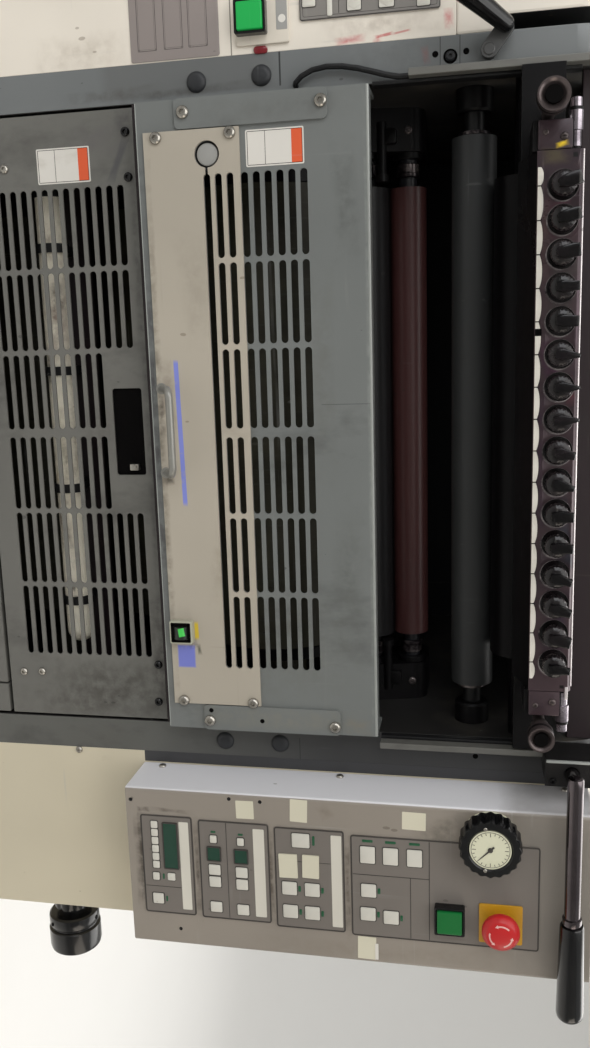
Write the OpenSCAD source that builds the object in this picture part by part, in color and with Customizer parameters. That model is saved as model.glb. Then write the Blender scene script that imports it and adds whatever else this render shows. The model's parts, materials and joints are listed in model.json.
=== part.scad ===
// One free-standing printing unit of a sheet-fed offset press, in millimetres.
// X runs to the operator's right, Y from the front to the back and Z up.
// The origin is the centre of the four anchor holes, on the floor.

/* [Main frame] */
// Depth of the side frames, front to back
frame_depth = 900; // [760:10:1100]
// Clear width between the side frames
inner_w = 678; // [660:2:720]
// Thickness of each cast side frame
frame_t = 38; // [30:1:50]
// Height of the side frames above the floor
frame_top = 1540; // [1530:5:1620]
// Thickness of the anchor plates under the bed
anchor_t = 20; // [12:1:30]
// Radius of each anchor hole
anchor_r = 9; // [6:0.5:12]
// Distance that an anchor hole stands out from the front and back of the frame
anchor_out = 32; // [25:1:50]
// Height of the bed beams
bed_h = 130; // [80:5:200]
// Distance of the middle wall behind the front of the frames
wall_in = 470; // [430:5:600]
// Thickness of the middle wall
wall_t = 6; // [4:1:10]
// Radius of the round tie bars between the side frames
tie_r = 22; // [15:1:30]
// Gap between the middle wall and the tie bar behind it
tie_gap = 15; // [5:1:40]
// Distance of the rear tie bars from the back of the frames
tie_in = 70; // [50:5:120]

/* [Covers] */
// Width of each side cover
side_cover_w = 213; // [190:1:260]
// Distance of the top cover below the top of the frames
top_drop = 40; // [30:1:44]
// Distance of the left lower cover's top below the top of the frames
left_cover_drop = 167; // [150:1:180]
// Distance of the joint between the back covers below the guard's top
back_joint_drop = 293; // [260:1:330]
// Sheet thickness of the folded front covers
sheet_t = 2; // [1.5:0.5:3]
// Depth of the folded flanges of the lower covers
flange_depth = 20; // [12:1:28]
// Gap between a front cover and the side frame
cover_gap = 3; // [2:0.5:5]
// Height of the bottom edge of the covers above the floor
cover_floor_gap = 45; // [30:1:80]
// Height of the lower slotted cover
lower_cover_h = 194; // [180:1:200]
// Width of the window in the lower cover
window_w = 96; // [60:1:150]
// Height of the window in the lower cover
window_h = 34; // [20:1:40]
// Vertical pitch of the lower cover's ventilation slots
lower_pitch = 12.3; // [10:0.1:12.5]
// Radius of the air pipe behind the lower cover
pipe_r = 16; // [10:0.5:18]

/* [Guard] */
// Distance of the guard's top edge below the top of the frames
guard_drop = 250; // [246:1:256]
// Height of the guard sheet
guard_h = 237; // [234:1:240]
// Depth from the guard's face to the front of the frames
guard_depth = 25; // [20:1:35]
// Side clearance between the guard and each side frame
guard_side_gap = 5; // [5:0.5:8]
// Radius of the guard's hinge pins
guard_pin_r = 5; // [4:0.5:7]
// Height of the cream band on the guard
band_h = 100; // [96:1:104]
// Half width of the cream band on the guard
band_half_w = 305; // [285:1:306]
// Length of one ventilation slot
slot_len = 82.4; // [60:0.2:84]
// Height of one ventilation slot
slot_h = 7.4; // [4:0.2:9]
// Vertical pitch of the ventilation slots
slot_pitch = 12.1; // [10:0.1:12.3]
// Web between two neighbouring slots
slot_web = 4.6; // [3:0.2:6]
// Web at the centre line
slot_centre_web = 9; // [5:0.5:12]

/* [Cylinders and rollers] */
// Radius of the plate, blanket and impression cylinders
cylinder_r = 100; // [80:1:102]
// Half length of the three cylinders
cylinder_half = 262; // [200:1:285]
// Radius of the cylinders' journals
journal_r = 30; // [20:1:40]
// Radius of the upper ink roller
upper_roller_r = 23; // [18:0.5:26]
// Half length of the upper ink roller
upper_roller_half = 292; // [240:1:310]
// Radius of the red-brown ink roller
red_roller_r = 20.5; // [15:0.5:24]
// Radius of the form roller under it
form_roller_r = 25; // [18:0.5:28]
// Half length of the red-brown and form rollers
form_roller_half = 257; // [200:1:270]
// Width of the roller brackets beside the opening
bracket_w = 45; // [36:1:56]
// Radius of the roller spindles
spindle_r = 10; // [7:0.5:13]
// Radius of the fountain roller
fountain_roller_r = 32; // [24:0.5:34]
// Radius of the fountain roller's journals
fountain_journal_r = 12; // [8:0.5:14]
// Running clearance of a shaft in its bearing, on the radius
fit = 0.05; // [0.02:0.01:0.1]
// Gap between two rollers that run together
nip = 0.3; // [0.3:0.05:0.6]

/* [Ink fountain] */
// Number of ink keys
key_count = 16; // [8:1:16]
// Distance between neighbouring ink keys
key_pitch = 29.5; // [24:0.5:30]
// Distance of the fountain's face in front of the frames
fountain_out = 85; // [80:1:95]
// Distance of the fountain's top edge below the top of the frames
fountain_drop = 54; // [50:1:60]
// Height of the fountain's face
fountain_h = 40; // [36:1:44]
// Distance from each end of the fountain block to the side frame
fountain_side = 88; // [83:1:94]
// Radius of the left hollow knob beside the fountain
left_knob_r = 14; // [10:0.5:16]
// Radius of the right hollow knob beside the fountain
right_knob_r = 12.5; // [10:0.5:16]

/* [Control box] */
// Width of the control box
box_w = 190; // [180:1:200]
// Height of the control box
box_h = 505; // [500:1:515]
// Distance of the control box's top below the top of the frames
box_drop = 25; // [20:1:30]
// Depth of the control box in front of the frames
box_depth = 68; // [50:1:72]
// Size of the square plate behind the stop button
stop_plate_w = 45; // [40:1:50]
// Radius of the stop button's head
stop_r = 19.5; // [15:0.5:22]
// Travel of the stop button
stop_travel = 4; // [2:0.5:5]
// Size of the square run buttons
run_w = 26; // [18:1:28]
// Distance of the left run button's centre beyond the left frame
left_run_out = 31.5; // [28:0.5:36]
// Distance of the left run button's centre below the left lower cover's top
left_run_drop = 200.5; // [190:0.5:210]
// Travel of the run buttons
run_travel = 2; // [1:0.25:2.5]
// Radius of the dial wheel
dial_r = 32; // [28:0.5:34]
// Thickness of the dial wheel
dial_t = 23; // [16:1:26]

/* [Levers and knobs] */
// Distance of the long lever's pivot below the top of the frames
lever_drop = 47; // [44:1:52]
// Radius of the long lever's chrome arm
lever_r = 8; // [6:0.5:9]
// Radius of the long lever's grip
lever_grip_r = 13; // [10:0.1:14]
// Length of the long lever from pivot to tip
lever_len = 254; // [220:1:270]
// Length of the long lever's grip
lever_grip_len = 107; // [80:1:130]
// Radius of the outer stage of the hand knob
hand_knob_r = 33; // [25:0.5:38]
// Distance of the hand knob's outer face from the side cover
hand_knob_out = 92; // [80:1:110]

/* [Hidden] */
$fn = 48;
eps = 0.01;

// Main planes
front_y = -frame_depth / 2;
back_y = frame_depth / 2;
wall_back = front_y + wall_in + wall_t;
inner_x = inner_w / 2;
outer_x = inner_x + frame_t;
side_x = outer_x + side_cover_w;
bed_z = anchor_t;
bed_top = bed_z + bed_h;
bearing_depth = frame_t - 8;

// Guard
guard_y = front_y - guard_depth;
guard_top = frame_top - guard_drop;
guard_bottom = guard_top - guard_h;
guard_half = inner_x - guard_side_gap;
hinge_c = [front_y + 12, guard_top - 12];
slot_top = guard_top - 65;
band_y = guard_y - 2.5;
band_z = guard_bottom + 8;
rocker_x = band_half_w - 86;
rocker_c = [guard_y - 7, band_z + 14];
rocker_tilt = 7;
long_slot_half = slot_centre_web / 2 + 3 * slot_len + 2 * slot_web;

// Covers
cover_half = inner_x - cover_gap;
lower_cover_top = guard_bottom - 12;
lower_cover_z = lower_cover_top - lower_cover_h;
back_cover_top = frame_top - 50;
back_split = guard_top - back_joint_drop;
pipe_c = [front_y + 45, lower_cover_top - 120];
pipe_half = 250;

// Fountain
fountain_y = front_y - fountain_out;
fountain_top = frame_top - fountain_drop;
fountain_bottom = fountain_top - fountain_h;
fountain_half = inner_x - fountain_side;
key_z = fountain_top - 17;
key_span = (key_count - 1) / 2;
scallop_r = 13.5;
knob_x = fountain_half + 41;
knob_z = fountain_top - 28;

// Cylinder and roller centres, as [y, z]
plate_c = [front_y + 145, guard_top - 140];
blanket_c = plate_c + (2 * cylinder_r + nip) * [cos(53), -sin(53)];
impression_c = blanket_c + (2 * cylinder_r + nip) * [sin(4), -cos(4)];
form_c = plate_c + (cylinder_r + form_roller_r + nip) * [-sin(14), cos(14)];
red_c = form_c + (form_roller_r + red_roller_r + nip) * [sin(12), cos(12)];
fountain_roller_c = [front_y + 22, fountain_top - 44];
upper_c = fountain_roller_c + [31, -52];

// Control box
box_x = outer_x + 13;
box_y = front_y - box_depth;
box_top = frame_top - box_drop;
box_z = box_top - box_h;
panel_t = 1;
panel_y = box_y - panel_t;
stop_c = [box_x + 128, box_top - 92.5];
run_c = [box_x + 125.5, box_top - 145.5];
dial_c = [box_x + 29, box_top - 104];
dial_back = box_y - 6;
dial_front = dial_back - dial_t;

// Left covers and operating panel
left_cover_top = frame_top - left_cover_drop;
left_gap = 14;
left_run_c = [-outer_x - left_run_out, left_cover_top - left_run_drop];
left_panel_y = front_y - 3;

// Levers and hand knob
lever_c = [inner_x + 14, frame_top - lever_drop];
lever_y = box_y - 20;
lever_bracket_z = lever_c[1] - 27;
bracket_y = front_y - 50;
left_lever_c = [-inner_x - frame_t / 2, frame_top - 136];
left_tip = left_lever_c + [-19, 15];
hand_knob_c = [front_y + 55, lower_cover_z + 29];

// Places a child on both sides of the centre plane
module both_sides() {
    children();
    mirror([1, 0, 0]) children();
}

// A block given by its lowest and highest corners
module block(a, b) {
    translate(a) cube(b - a);
}

// A round bar along X between two stations, centred on [y, z]
module bar_x(c, x0, x1, r) {
    translate([x0, c[0], c[1]]) rotate([0, 90, 0]) cylinder(h = x1 - x0, r = r);
}

// A round bar along Y between two stations, centred on [x, z]
module bar_y(c, y0, y1, r) {
    translate([c[0], y0, c[1]]) rotate([-90, 0, 0]) cylinder(h = y1 - y0, r = r);
}

// A rectangle with round corners, centred on the origin
module rounded(w, h, r) {
    square([w - 2 * r, h], center = true);
    square([w, h - 2 * r], center = true);
    for (x = [-1, 1], y = [-1, 1])
        translate([x * (w / 2 - r), y * (h / 2 - r)]) circle(r);
}

// A flat piece in the XZ plane, drawn as a 2-D shape and standing y0 to y1
module upright(y0, y1) {
    translate([0, y1, 0]) rotate([90, 0, 0]) linear_extrude(y1 - y0) children();
}

// A profile in the YZ plane, extruded along X from x0 to x1
module along_x(x0, x1) {
    translate([x0, 0, 0]) rotate([90, 0, 90]) linear_extrude(x1 - x0) children();
}

// One ventilation slot, as a 2-D shape
module slot(w = slot_len) {
    square([w - slot_h, slot_h], center = true);
    for (s = [-1, 1]) translate([s * (w - slot_h) / 2, 0]) circle(slot_h / 2);
}

// A column of slots at column i, from row first to row last below z
module slot_column(i, z, first, last, pitch = slot_pitch) {
    x = slot_centre_web / 2 + slot_len / 2 + i * (slot_len + slot_web);
    for (s = [-1, 1], k = [first:last]) translate([s * x, z - k * pitch]) slot();
}

// The slot field that runs through the guard and its band
module guard_slots() {
    for (i = [0:2]) {
        slot_column(i, slot_top, 0, 5);
        slot_column(i, slot_top - 2.4, 6, 7);
    }
    translate([0, slot_top - 99]) slot(2 * long_slot_half);
    translate([-long_slot_half - 10, slot_top - 99]) square([22, 3], center = true);
    translate([-long_slot_half - 19, slot_top - 98]) circle(13);
}

// A folded sheet cover in the XZ plane, open at the back
module folded_cover(x0, x1, z0, z1, y, depth) {
    difference() {
        block([x0, y, z0], [x1, y + depth, z1]);
        block([x0 + sheet_t, y + sheet_t, z0 + sheet_t], [x1 - sheet_t, y + depth + 1, z1 - sheet_t]);
    }
}

module anchor_plates() {
    color("dimgray")
    for (sx = [-1, 1], sy = [-1, 1])
        difference() {
            translate([sx * (inner_x + 1), sy * (back_y + anchor_out / 2 - 10), 0])
                linear_extrude(anchor_t) rounded(110, anchor_out + 100, 8);
            translate([sx * (inner_x + 1), sy * (back_y + anchor_out), -1])
                cylinder(h = anchor_t + 2, r = anchor_r);
        }
}

module bed_frame() {
    color("slategray") for (y = [front_y + 40, back_y - 90])
        block([-inner_x, y, bed_z], [inner_x, y + 50, bed_top]);
}

// Outline of a side frame in the YZ plane
module frame_outline() {
    r = 55;
    translate([front_y, bed_z]) square([frame_depth, frame_top - r - bed_z]);
    translate([front_y + r, bed_z]) square([frame_depth - 2 * r, frame_top - bed_z]);
    for (y = [front_y + r, back_y - r]) translate([y, frame_top - r]) circle(r);
}

module side_frame() {
    difference() {
        along_x(inner_x, outer_x) frame_outline();
        for (c = [plate_c, blanket_c, impression_c]) bar_x(c, inner_x - 1, outer_x + 1, journal_r + fit);
        bar_x(upper_c, inner_x - 1, outer_x + 1, spindle_r + fit);
        bar_x(fountain_roller_c, inner_x - 1, outer_x + 1, fountain_journal_r + fit);
        bar_x(hinge_c, inner_x - 1, inner_x + 24, guard_pin_r + fit);
    }
}

module left_side_frame() {
    color("slategray") difference() {
        mirror([1, 0, 0]) side_frame();
        bar_y(left_lever_c, front_y - 1, front_y + 30, 6 + fit);
    }
}

module right_side_frame() {
    color("dimgray") side_frame();
}

module tie_bars() {
    low = (guard_top - bed_top) / 4;
    bars = [[wall_back + tie_gap + tie_r, frame_top - 4 * top_drop], [back_y - tie_in, guard_top - top_drop],
            [back_y - tie_in, bed_top + low], [front_y + frame_depth / 4, bed_top + low / 2]];
    color("gray") {
        for (c = bars) bar_x(c, -inner_x, inner_x, tie_r);
        block([-inner_x, front_y, lower_cover_top], [inner_x, front_y + 16, lower_cover_top + 26]);
        block([-inner_x, front_y + 95, pipe_c[1] - 20], [inner_x, front_y + 107, pipe_c[1] + 20]);
        block([-inner_x, front_y + 10, fountain_top + 6], [inner_x, front_y + 22, frame_top - 6]);
    }
}

module inner_bulkhead() {
    color("dimgray") block([-inner_x, wall_back - wall_t, bed_top],
                           [inner_x, wall_back, frame_top - 1.5 * top_drop]);
}

module cover_ledges() {
    color("dimgray") both_sides() {
        block([inner_x - 26, front_y + flange_depth, bed_top],
              [inner_x, front_y + flange_depth + 10, lower_cover_top]);
        block([inner_x - 26, back_y - sheet_t - 10, bed_top], [inner_x, back_y - sheet_t, back_cover_top]);
    }
}

module base_cover() {
    seam = cover_half - 36;
    color("gray") {
        folded_cover(-cover_half, seam - 1, cover_floor_gap, lower_cover_z - 5, front_y, flange_depth);
        folded_cover(seam + 1, cover_half, cover_floor_gap, lower_cover_z - 5, front_y, flange_depth);
    }
}

module lower_cover() {
    color("gray") difference() {
        folded_cover(-cover_half, cover_half, lower_cover_z, lower_cover_top, front_y, flange_depth);
        upright(front_y - 1, front_y + sheet_t + 1) {
            for (i = [1, 2]) slot_column(i, lower_cover_top - 18, 0, 12, lower_pitch);
            slot_column(0, lower_cover_top - 18, 3, 12, lower_pitch);
            translate([0, lower_cover_top - 8 - window_h / 2]) rounded(window_w, window_h, 3);
        }
    }
}

module cover_latch() {
    color("black") {
        block([-window_w / 2 - 6, front_y + sheet_t, lower_cover_top - window_h - 14],
              [window_w / 2 + 6, front_y + sheet_t + 3, lower_cover_top - sheet_t]);
        block([window_w / 2 - 12, front_y - 2, lower_cover_top - 26],
              [window_w / 2 - 6, front_y + sheet_t, lower_cover_top - 16]);
    }
}

module blower_pipe() {
    color("ivory") {
        bar_x(pipe_c, -pipe_half - 10, pipe_half - 8, pipe_r);
        translate([pipe_half - 8, pipe_c[0], pipe_c[1]]) sphere(pipe_r);
    }
}

module pipe_clips() {
    color("black") for (k = [-3:2:3])
        difference() {
            union() {
                bar_x(pipe_c, k * 68 - 5, k * 68 + 5, pipe_r + 2.5);
                block([k * 68 - 5, pipe_c[0], pipe_c[1] - 8], [k * 68 + 5, front_y + 95, pipe_c[1] + 8]);
            }
            bar_x(pipe_c, k * 68 - 6, k * 68 + 6, pipe_r);
        }
}

// The top cover sheet, with two long stiffening ribs and a hinged hatch's raised rim
module top_cover() {
    z = frame_top - top_drop;
    color("dimgray") {
        block([-inner_x, front_y + 70, z - 2], [inner_x, back_y - 20, z + sheet_t]);
        for (y = [front_y + 120, back_y - 70]) block([-inner_x + 40, y - 8, z], [inner_x - 40, y + 8, z + 8]);
        difference() {
            block([-220, -160, z], [220, 200, z + 8]);
            block([-212, -152, z - 1], [212, 192, z + 9]);
        }
    }
}

// A slotted cover plate on the back, with its slot rows starting at top_row
module back_cover(z0, z1, top_row, rows) {
    upright(back_y - sheet_t, back_y) difference() {
        translate([-cover_half, z0]) square([2 * cover_half, z1 - z0]);
        for (i = [0:2]) slot_column(i, top_row, 0, rows - 1);
    }
}

module back_covers() {
    color("gray") {
        back_cover(back_split + 3, back_cover_top, back_cover_top - 190, 8);
        back_cover(cover_floor_gap, back_split - 3, back_split - 95, 13);
    }
}

// A cylinder with its journals running in the side frames
module press_cylinder(c) {
    bar_x(c, -cylinder_half, cylinder_half, cylinder_r);
    bar_x(c, -inner_x - bearing_depth, inner_x + bearing_depth, journal_r);
}

module plate_cylinder() {
    color("darkkhaki") press_cylinder(plate_c);
}

module blanket_cylinder() {
    color("steelblue") press_cylinder(blanket_c);
}

module impression_cylinder() {
    color("silver") press_cylinder(impression_c);
}

module fountain_roller() {
    color("dimgray") {
        bar_x(fountain_roller_c, -fountain_half + 6, fountain_half - 6, fountain_roller_r);
        bar_x(fountain_roller_c, -inner_x - bearing_depth, inner_x + bearing_depth, fountain_journal_r);
    }
}

// A rubber-covered roller on its steel spindle
module covered_roller(c, half, r, end) {
    bar_x(c, -half, half, r);
    bar_x(c, -end, end, spindle_r);
}

module upper_roller() {
    color("dimgray") covered_roller(upper_c, upper_roller_half, upper_roller_r, inner_x + bearing_depth);
}

module red_roller() {
    color("maroon") covered_roller(red_c, form_roller_half, red_roller_r, inner_x - 15);
}

module form_roller() {
    color("dimgray") covered_roller(form_c, form_roller_half, form_roller_r, inner_x - 15);
}

module roller_brackets() {
    color("black") both_sides() difference() {
        along_x(inner_x - bracket_w, inner_x) hull() {
            translate(form_c) circle(spindle_r + 9);
            translate(red_c) circle(spindle_r + 9);
            translate(red_c + [40, 0]) circle(spindle_r + 9);
        }
        for (c = [form_c, red_c]) bar_x(c, inner_x - bracket_w - 1, inner_x - 14, spindle_r + fit);
    }
}

module fountain_block() {
    tip = fountain_roller_c + (fountain_roller_r + nip) * [-cos(8), -sin(8)];
    color("rosybrown") difference() {
        along_x(-fountain_half, fountain_half) polygon([
            [fountain_y, fountain_bottom], [fountain_y, fountain_top - 3], [fountain_y + 4, fountain_top],
            [fountain_y + 22, fountain_top], tip, [tip[0] - 24, tip[1] - 6]
        ]);
        for (i = [0:key_count - 1])
            bar_y([(i - key_span) * key_pitch, key_z], fountain_y - 1, fountain_y + 5, scallop_r);
    }
}

// End plates, bearing blocks and the short rods beside the fountain
module fountain_cheeks() {
    color("gray") both_sides() difference() {
        union() {
            block([fountain_half, fountain_y + 3, fountain_bottom - 4],
                  [fountain_half + 26, front_y - 20, fountain_top - 9]);
            block([fountain_half, front_y - 25, fountain_bottom - 12],
                  [inner_x, front_y + 34, fountain_top - 12]);
            bar_x([fountain_y + 9, fountain_top - 7], fountain_half, fountain_half + 44, 4.5);
            bar_x([fountain_y + 9, fountain_top - 7], fountain_half + 20, fountain_half + 36, 6);
        }
        bar_x(fountain_roller_c, fountain_half - 1, inner_x + 1, fountain_journal_r + fit);
        bar_y([knob_x, knob_z], front_y - 26, front_y + 10, 6 + fit);
    }
}

module fountain_scale() {
    gap_x = -3 * key_pitch - 6;
    color("white") upright(fountain_y - 1, fountain_y) difference() {
        for (x = [[-key_span * key_pitch - 18, gap_x], [gap_x + 8, key_span * key_pitch + 14]])
            translate([x[0], fountain_bottom + 0.5]) square([x[1] - x[0], 8]);
        for (i = [0:key_count - 1]) translate([(i - key_span) * key_pitch, key_z]) circle(scallop_r + 1.5);
    }
}

// An ink key: a stem, a waisted hub and a thumb wing, on a screw that sets the ink film
module ink_key() {
    cylinder(h = 16, r = 5);
    translate([0, 0, 9]) cylinder(h = 5, r1 = 8.5, r2 = 10.5);
    translate([0, 0, 14]) cylinder(h = 8, r1 = 10.5, r2 = 9.5);
    translate([0, 3, 22]) linear_extrude(7) rounded(8, 19, 3);
}

module ink_keys() {
    color("black") for (i = [0:key_count - 1])
        translate([(i - key_span) * key_pitch, fountain_y + 5, key_z]) rotate([90, 0, 0]) ink_key();
}

// A hollow knob with its stud, on the axis [x, z]
module fountain_knob(x, r) {
    bore = r * 0.55;
    difference() {
        bar_y([x, knob_z], fountain_y - 25, fountain_y - 7, r);
        bar_y([x, knob_z], fountain_y - 26, fountain_y - 11, bore);
        translate([x, fountain_y - 25 - eps, knob_z]) rotate([-90, 0, 0])
            cylinder(h = 4, r1 = r - 1.5, r2 = bore);
    }
    bar_y([x, knob_z], fountain_y - 8, front_y - 6, 6);
    bar_y([x, knob_z], fountain_y - 3, fountain_y + 10, 9);
}

module left_fountain_knob() {
    color("silver") fountain_knob(-knob_x, left_knob_r);
}

module right_fountain_knob() {
    color("silver") fountain_knob(knob_x, right_knob_r);
}

module guard_cover() {
    color("gray") {
        difference() {
            folded_cover(-guard_half, guard_half, guard_bottom, guard_top, guard_y, guard_depth - 5);
            upright(guard_y - 1, guard_y + sheet_t + 1) guard_slots();
        }
        both_sides() {
            block([guard_half - 4, guard_y + sheet_t, hinge_c[1] - 12],
                  [guard_half, hinge_c[0] + 10, guard_top]);
            bar_x(hinge_c, guard_half - 4, inner_x + 22, guard_pin_r);
            upright(guard_y - 3, guard_y) translate([guard_half - 14.5, slot_top - 52.5]) rounded(29, 155, 5);
        }
    }
}

module guard_band() {
    color("antiquewhite") difference() {
        block([-band_half_w + 1, band_y, band_z], [band_half_w - 1, guard_y, band_z + band_h]);
        upright(guard_y - 4, guard_y + 1) guard_slots();
    }
}

module guard_handle() {
    grip_y = band_y - 25;
    color("silver") {
        for (x = [-48, 42]) bar_y([x, band_z + 18], grip_y, band_y, 4);
        bar_x([grip_y, band_z + 18], -52, 46, 4);
    }
}

module switch_bezel() {
    color("gainsboro") translate([rocker_x, band_y, rocker_c[1]]) rotate([90, 0, 0]) linear_extrude(8)
        difference() {
            rounded(26, 26, 2);
            square([16, 18], center = true);
        }
}

module switch_rocker() {
    color("green") translate([rocker_x - 7, rocker_c[0], rocker_c[1]]) rotate([rocker_tilt, 0, 0])
        intersection() {
            bar_x([0, 0], 0, 14, 8.2);
            block([0, -8.2, -8.2], [14, 2.5, 8.2]);
        }
}

module opening_rails() {
    color("lightgray") {
        block([-inner_x - 7, front_y - 20, guard_top + 38], [-inner_x, front_y, frame_top - 30]);
        block([inner_x + 4, front_y - 20, guard_top + 2], [inner_x + 11, front_y, lever_bracket_z]);
    }
}

// Route of the sensor cable from the rail to the frame, seen from the opening's left edge at the guard's top
cable_r = 2.8;
cable_start = [-inner_x, front_y, guard_top];
cable_route = [
    [-3, -7, 37.8], [-3, -7, 28], [-6, -7, 15], [-10, -7, 2], [-14, -7, -12], [-17, -7, -27],
    [-18, -7, -43], [-16, -7, -57], [-11, -7, -68], [-6, -5.5, -74], [-4, -3, -75], [-4, -0.2, -75]
];

function unit(v) = v / norm(v);
function route_dir(p, i) = unit(p[min(i + 1, len(p) - 1)] - p[max(i - 1, 0)]);
function ring(p, i, r, n) =
    let (t = route_dir(p, i), u = unit(cross(t, [0, 1, 0.2])), v = cross(t, u))
    [for (k = [0:n - 1]) p[i] + r * (cos(360 * k / n) * u + sin(360 * k / n) * v)];

// A round tube swept along a list of points
module swept_tube(p, r, n = 8) {
    m = len(p);
    pts = [for (i = [0:m - 1]) each ring(p, i, r, n)];
    walls = [for (i = [0:m - 2], k = [0:n - 1])
        [i * n + k, i * n + (k + 1) % n, (i + 1) * n + (k + 1) % n, (i + 1) * n + k]];
    first = [for (k = [n - 1:-1:0]) k];
    last = [for (k = [0:n - 1]) (m - 1) * n + k];
    polyhedron(pts, concat(walls, [first, last]));
}

module sensor_cable() {
    color("black") translate(cable_start) swept_tube(cable_route, cable_r);
}

// Outline of a side cover in the YZ plane
module side_outline(z0, z1) {
    r = 30;
    translate([front_y, z0]) square([frame_depth, z1 - z0 - r]);
    translate([front_y + r, z0]) square([frame_depth - 2 * r, z1 - z0]);
    for (y = [front_y + r, back_y - r]) translate([y, z1 - r]) circle(r);
}

// Seams and hand pulls cut into the outer face of a side cover of height z1
module side_doors(z1) {
    seam = 2;
    middle = (cover_floor_gap + z1) / 2;
    for (y = [front_y + 130, 60, back_y - 60])
        block([side_x - 4, y - seam, cover_floor_gap + 60], [side_x + 1, y + seam, z1 - 60]);
    for (z = [cover_floor_gap + 60, middle, z1 - 60])
        block([side_x - 4, front_y + 130, z - seam], [side_x + 1, back_y - 60, z + seam]);
    for (y = [20, 100], z = [middle - 90, middle + 90])
        translate([side_x - 12, y, z]) rotate([90, 0, 90]) linear_extrude(13) rounded(26, 90, 12.9);
}

module right_side_cover() {
    color("tan") difference() {
        along_x(outer_x, side_x) side_outline(cover_floor_gap, frame_top - 20);
        bar_x(hand_knob_c, side_x - 40, side_x + 1, 8 + fit);
        side_doors(frame_top - 20);
    }
}

module control_box() {
    color("silver") difference() {
        translate([box_x + box_w / 2, (box_y + front_y) / 2, box_z]) linear_extrude(box_h)
            rounded(box_w, box_depth, 4);
        bar_y(stop_c, box_y - 1, box_y + 25, 8 + fit);
    }
}

// The four film panels on the control box: left edge, top edge, width and height
films = [[38, 53, 119, 198], [35, 258, 120, 77], [33, 341, 119, 80], [31, 428, 120, 60]];

module membranes() {
    color("gray") difference() {
        for (m = films)
            translate([box_x + m[0] + m[2] / 2, box_y, box_top - m[1] - m[3] / 2])
                rotate([90, 0, 0]) linear_extrude(panel_t) rounded(m[2], m[3], 3);
        bar_y(stop_c, panel_y - 1, box_y + 1, 8 + fit);
        bar_y(dial_c, panel_y - 1, box_y + 1, dial_r - 4 + fit);
    }
}

// Keys: the centre's distance right of the box's edge and below its top, width and height
film_keys = [
    [60, 182.5, 19.5, 16], [60, 208, 19.5, 16], [60, 232.6, 19.5, 16],
    [132, 208, 15.4, 16.3], [102, 232, 15.4, 16.3], [130, 233, 15.4, 16.3],
    [49, 305.4, 16.5, 19.5], [107, 294, 15.6, 16.5], [135, 294.5, 15.6, 16.5],
    [107, 319.4, 15.6, 16.5], [135, 319, 15.6, 16.5],
    [56, 373, 9, 7.7], [93, 373, 12.4, 13.3], [107.6, 373, 12.4, 13.3], [138.5, 373, 12.5, 13.4],
    [55, 404, 9, 7.7], [92, 404, 12.4, 13.3], [106.6, 404, 12.4, 13.3], [137.5, 404, 12.5, 13.4],
    [105, 455, 9, 9], [105.6, 473, 9.1, 7.8], [133, 472, 12.7, 12.5]
];
display_keys = [[73.6, 373, 15.7, 14.3], [72.6, 404, 15.7, 14.3], [67, 454, 54.5, 15.7]];
left_keys = [
    [-38, 31, 20, 12.5], [-39, 66.5, 18, 14.5], [-39, 98, 18, 13.5], [-40, 122, 26, 5], [-46, 142.5, 18, 13]
];

module key_plate(x, y, z, w, h) {
    translate([x, y, z]) rotate([90, 0, 0]) linear_extrude(1) rounded(w, h, 1.5);
}

module panel_keys() {
    color("white") {
        for (k = concat(film_keys, display_keys))
            key_plate(box_x + k[0], panel_y, box_top - k[1], k[2], k[3]);
        for (k = [0:5]) key_plate(box_x + 42.4 + k * 9.72, panel_y, box_top - films[3][1] - 44, 8.6, 7.8);
        for (k = left_keys) key_plate(-outer_x + k[0], left_panel_y + 1, left_cover_top - k[1], k[2], k[3]);
    }
}

// The lobed outline of a hand wheel of radius r
module lobed(r, lobes, lobe_r) {
    circle(r - lobe_r / 2);
    for (k = [0:lobes - 1]) rotate(360 * k / lobes) translate([r - lobe_r, 0]) circle(lobe_r, $fn = 24);
}

module dial_wheel() {
    color("black") difference() {
        translate([dial_c[0], dial_back, dial_c[1]]) rotate([90, 0, 0]) linear_extrude(dial_t)
            lobed(dial_r, 10, 6);
        bar_y(dial_c, dial_front - 1, dial_back + 1, 6 + fit);
        bar_y(dial_c, dial_front - 1, dial_front + 7, 22);
    }
}

module dial_face() {
    color("ivory") {
        bar_y(dial_c, dial_front + 1, dial_front + 5, 21);
        bar_y(dial_c, dial_front + 4, box_y, 6);
        bar_y(dial_c, box_y - 3, box_y, dial_r - 4);
    }
}

module stop_plate() {
    color("gold") translate([stop_c[0], panel_y, stop_c[1]]) rotate([90, 0, 0]) linear_extrude(2)
        difference() {
            rounded(stop_plate_w, stop_plate_w, 2);
            circle(8 + fit);
        }
}

// The mushroom head of the stop button with its stem, pointing to the front
module stop_button() {
    head_y = panel_y - 2 - stop_travel - 5;
    color("red") {
        bar_y(stop_c, head_y - 7, head_y, stop_r);
        translate([stop_c[0], head_y - 7, stop_c[1]]) rotate([90, 0, 0]) {
            cylinder(h = 4, r1 = stop_r, r2 = stop_r - 4);
            translate([0, 0, 4]) cylinder(h = 2, r1 = stop_r - 4, r2 = 8);
        }
        bar_y(stop_c, head_y - 1, box_y + 20, 8);
    }
}

module run_bezel(c, y) {
    translate([c[0], y, c[1]]) rotate([90, 0, 0]) difference() {
        linear_extrude(10) rounded(run_w + 6, run_w + 6, 2);
        translate([0, 0, 3]) linear_extrude(10) square(run_w + 1, center = true);
    }
}

module run_bezels() {
    color("black") {
        run_bezel(run_c, panel_y);
        run_bezel(left_run_c, left_panel_y);
    }
}

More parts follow.
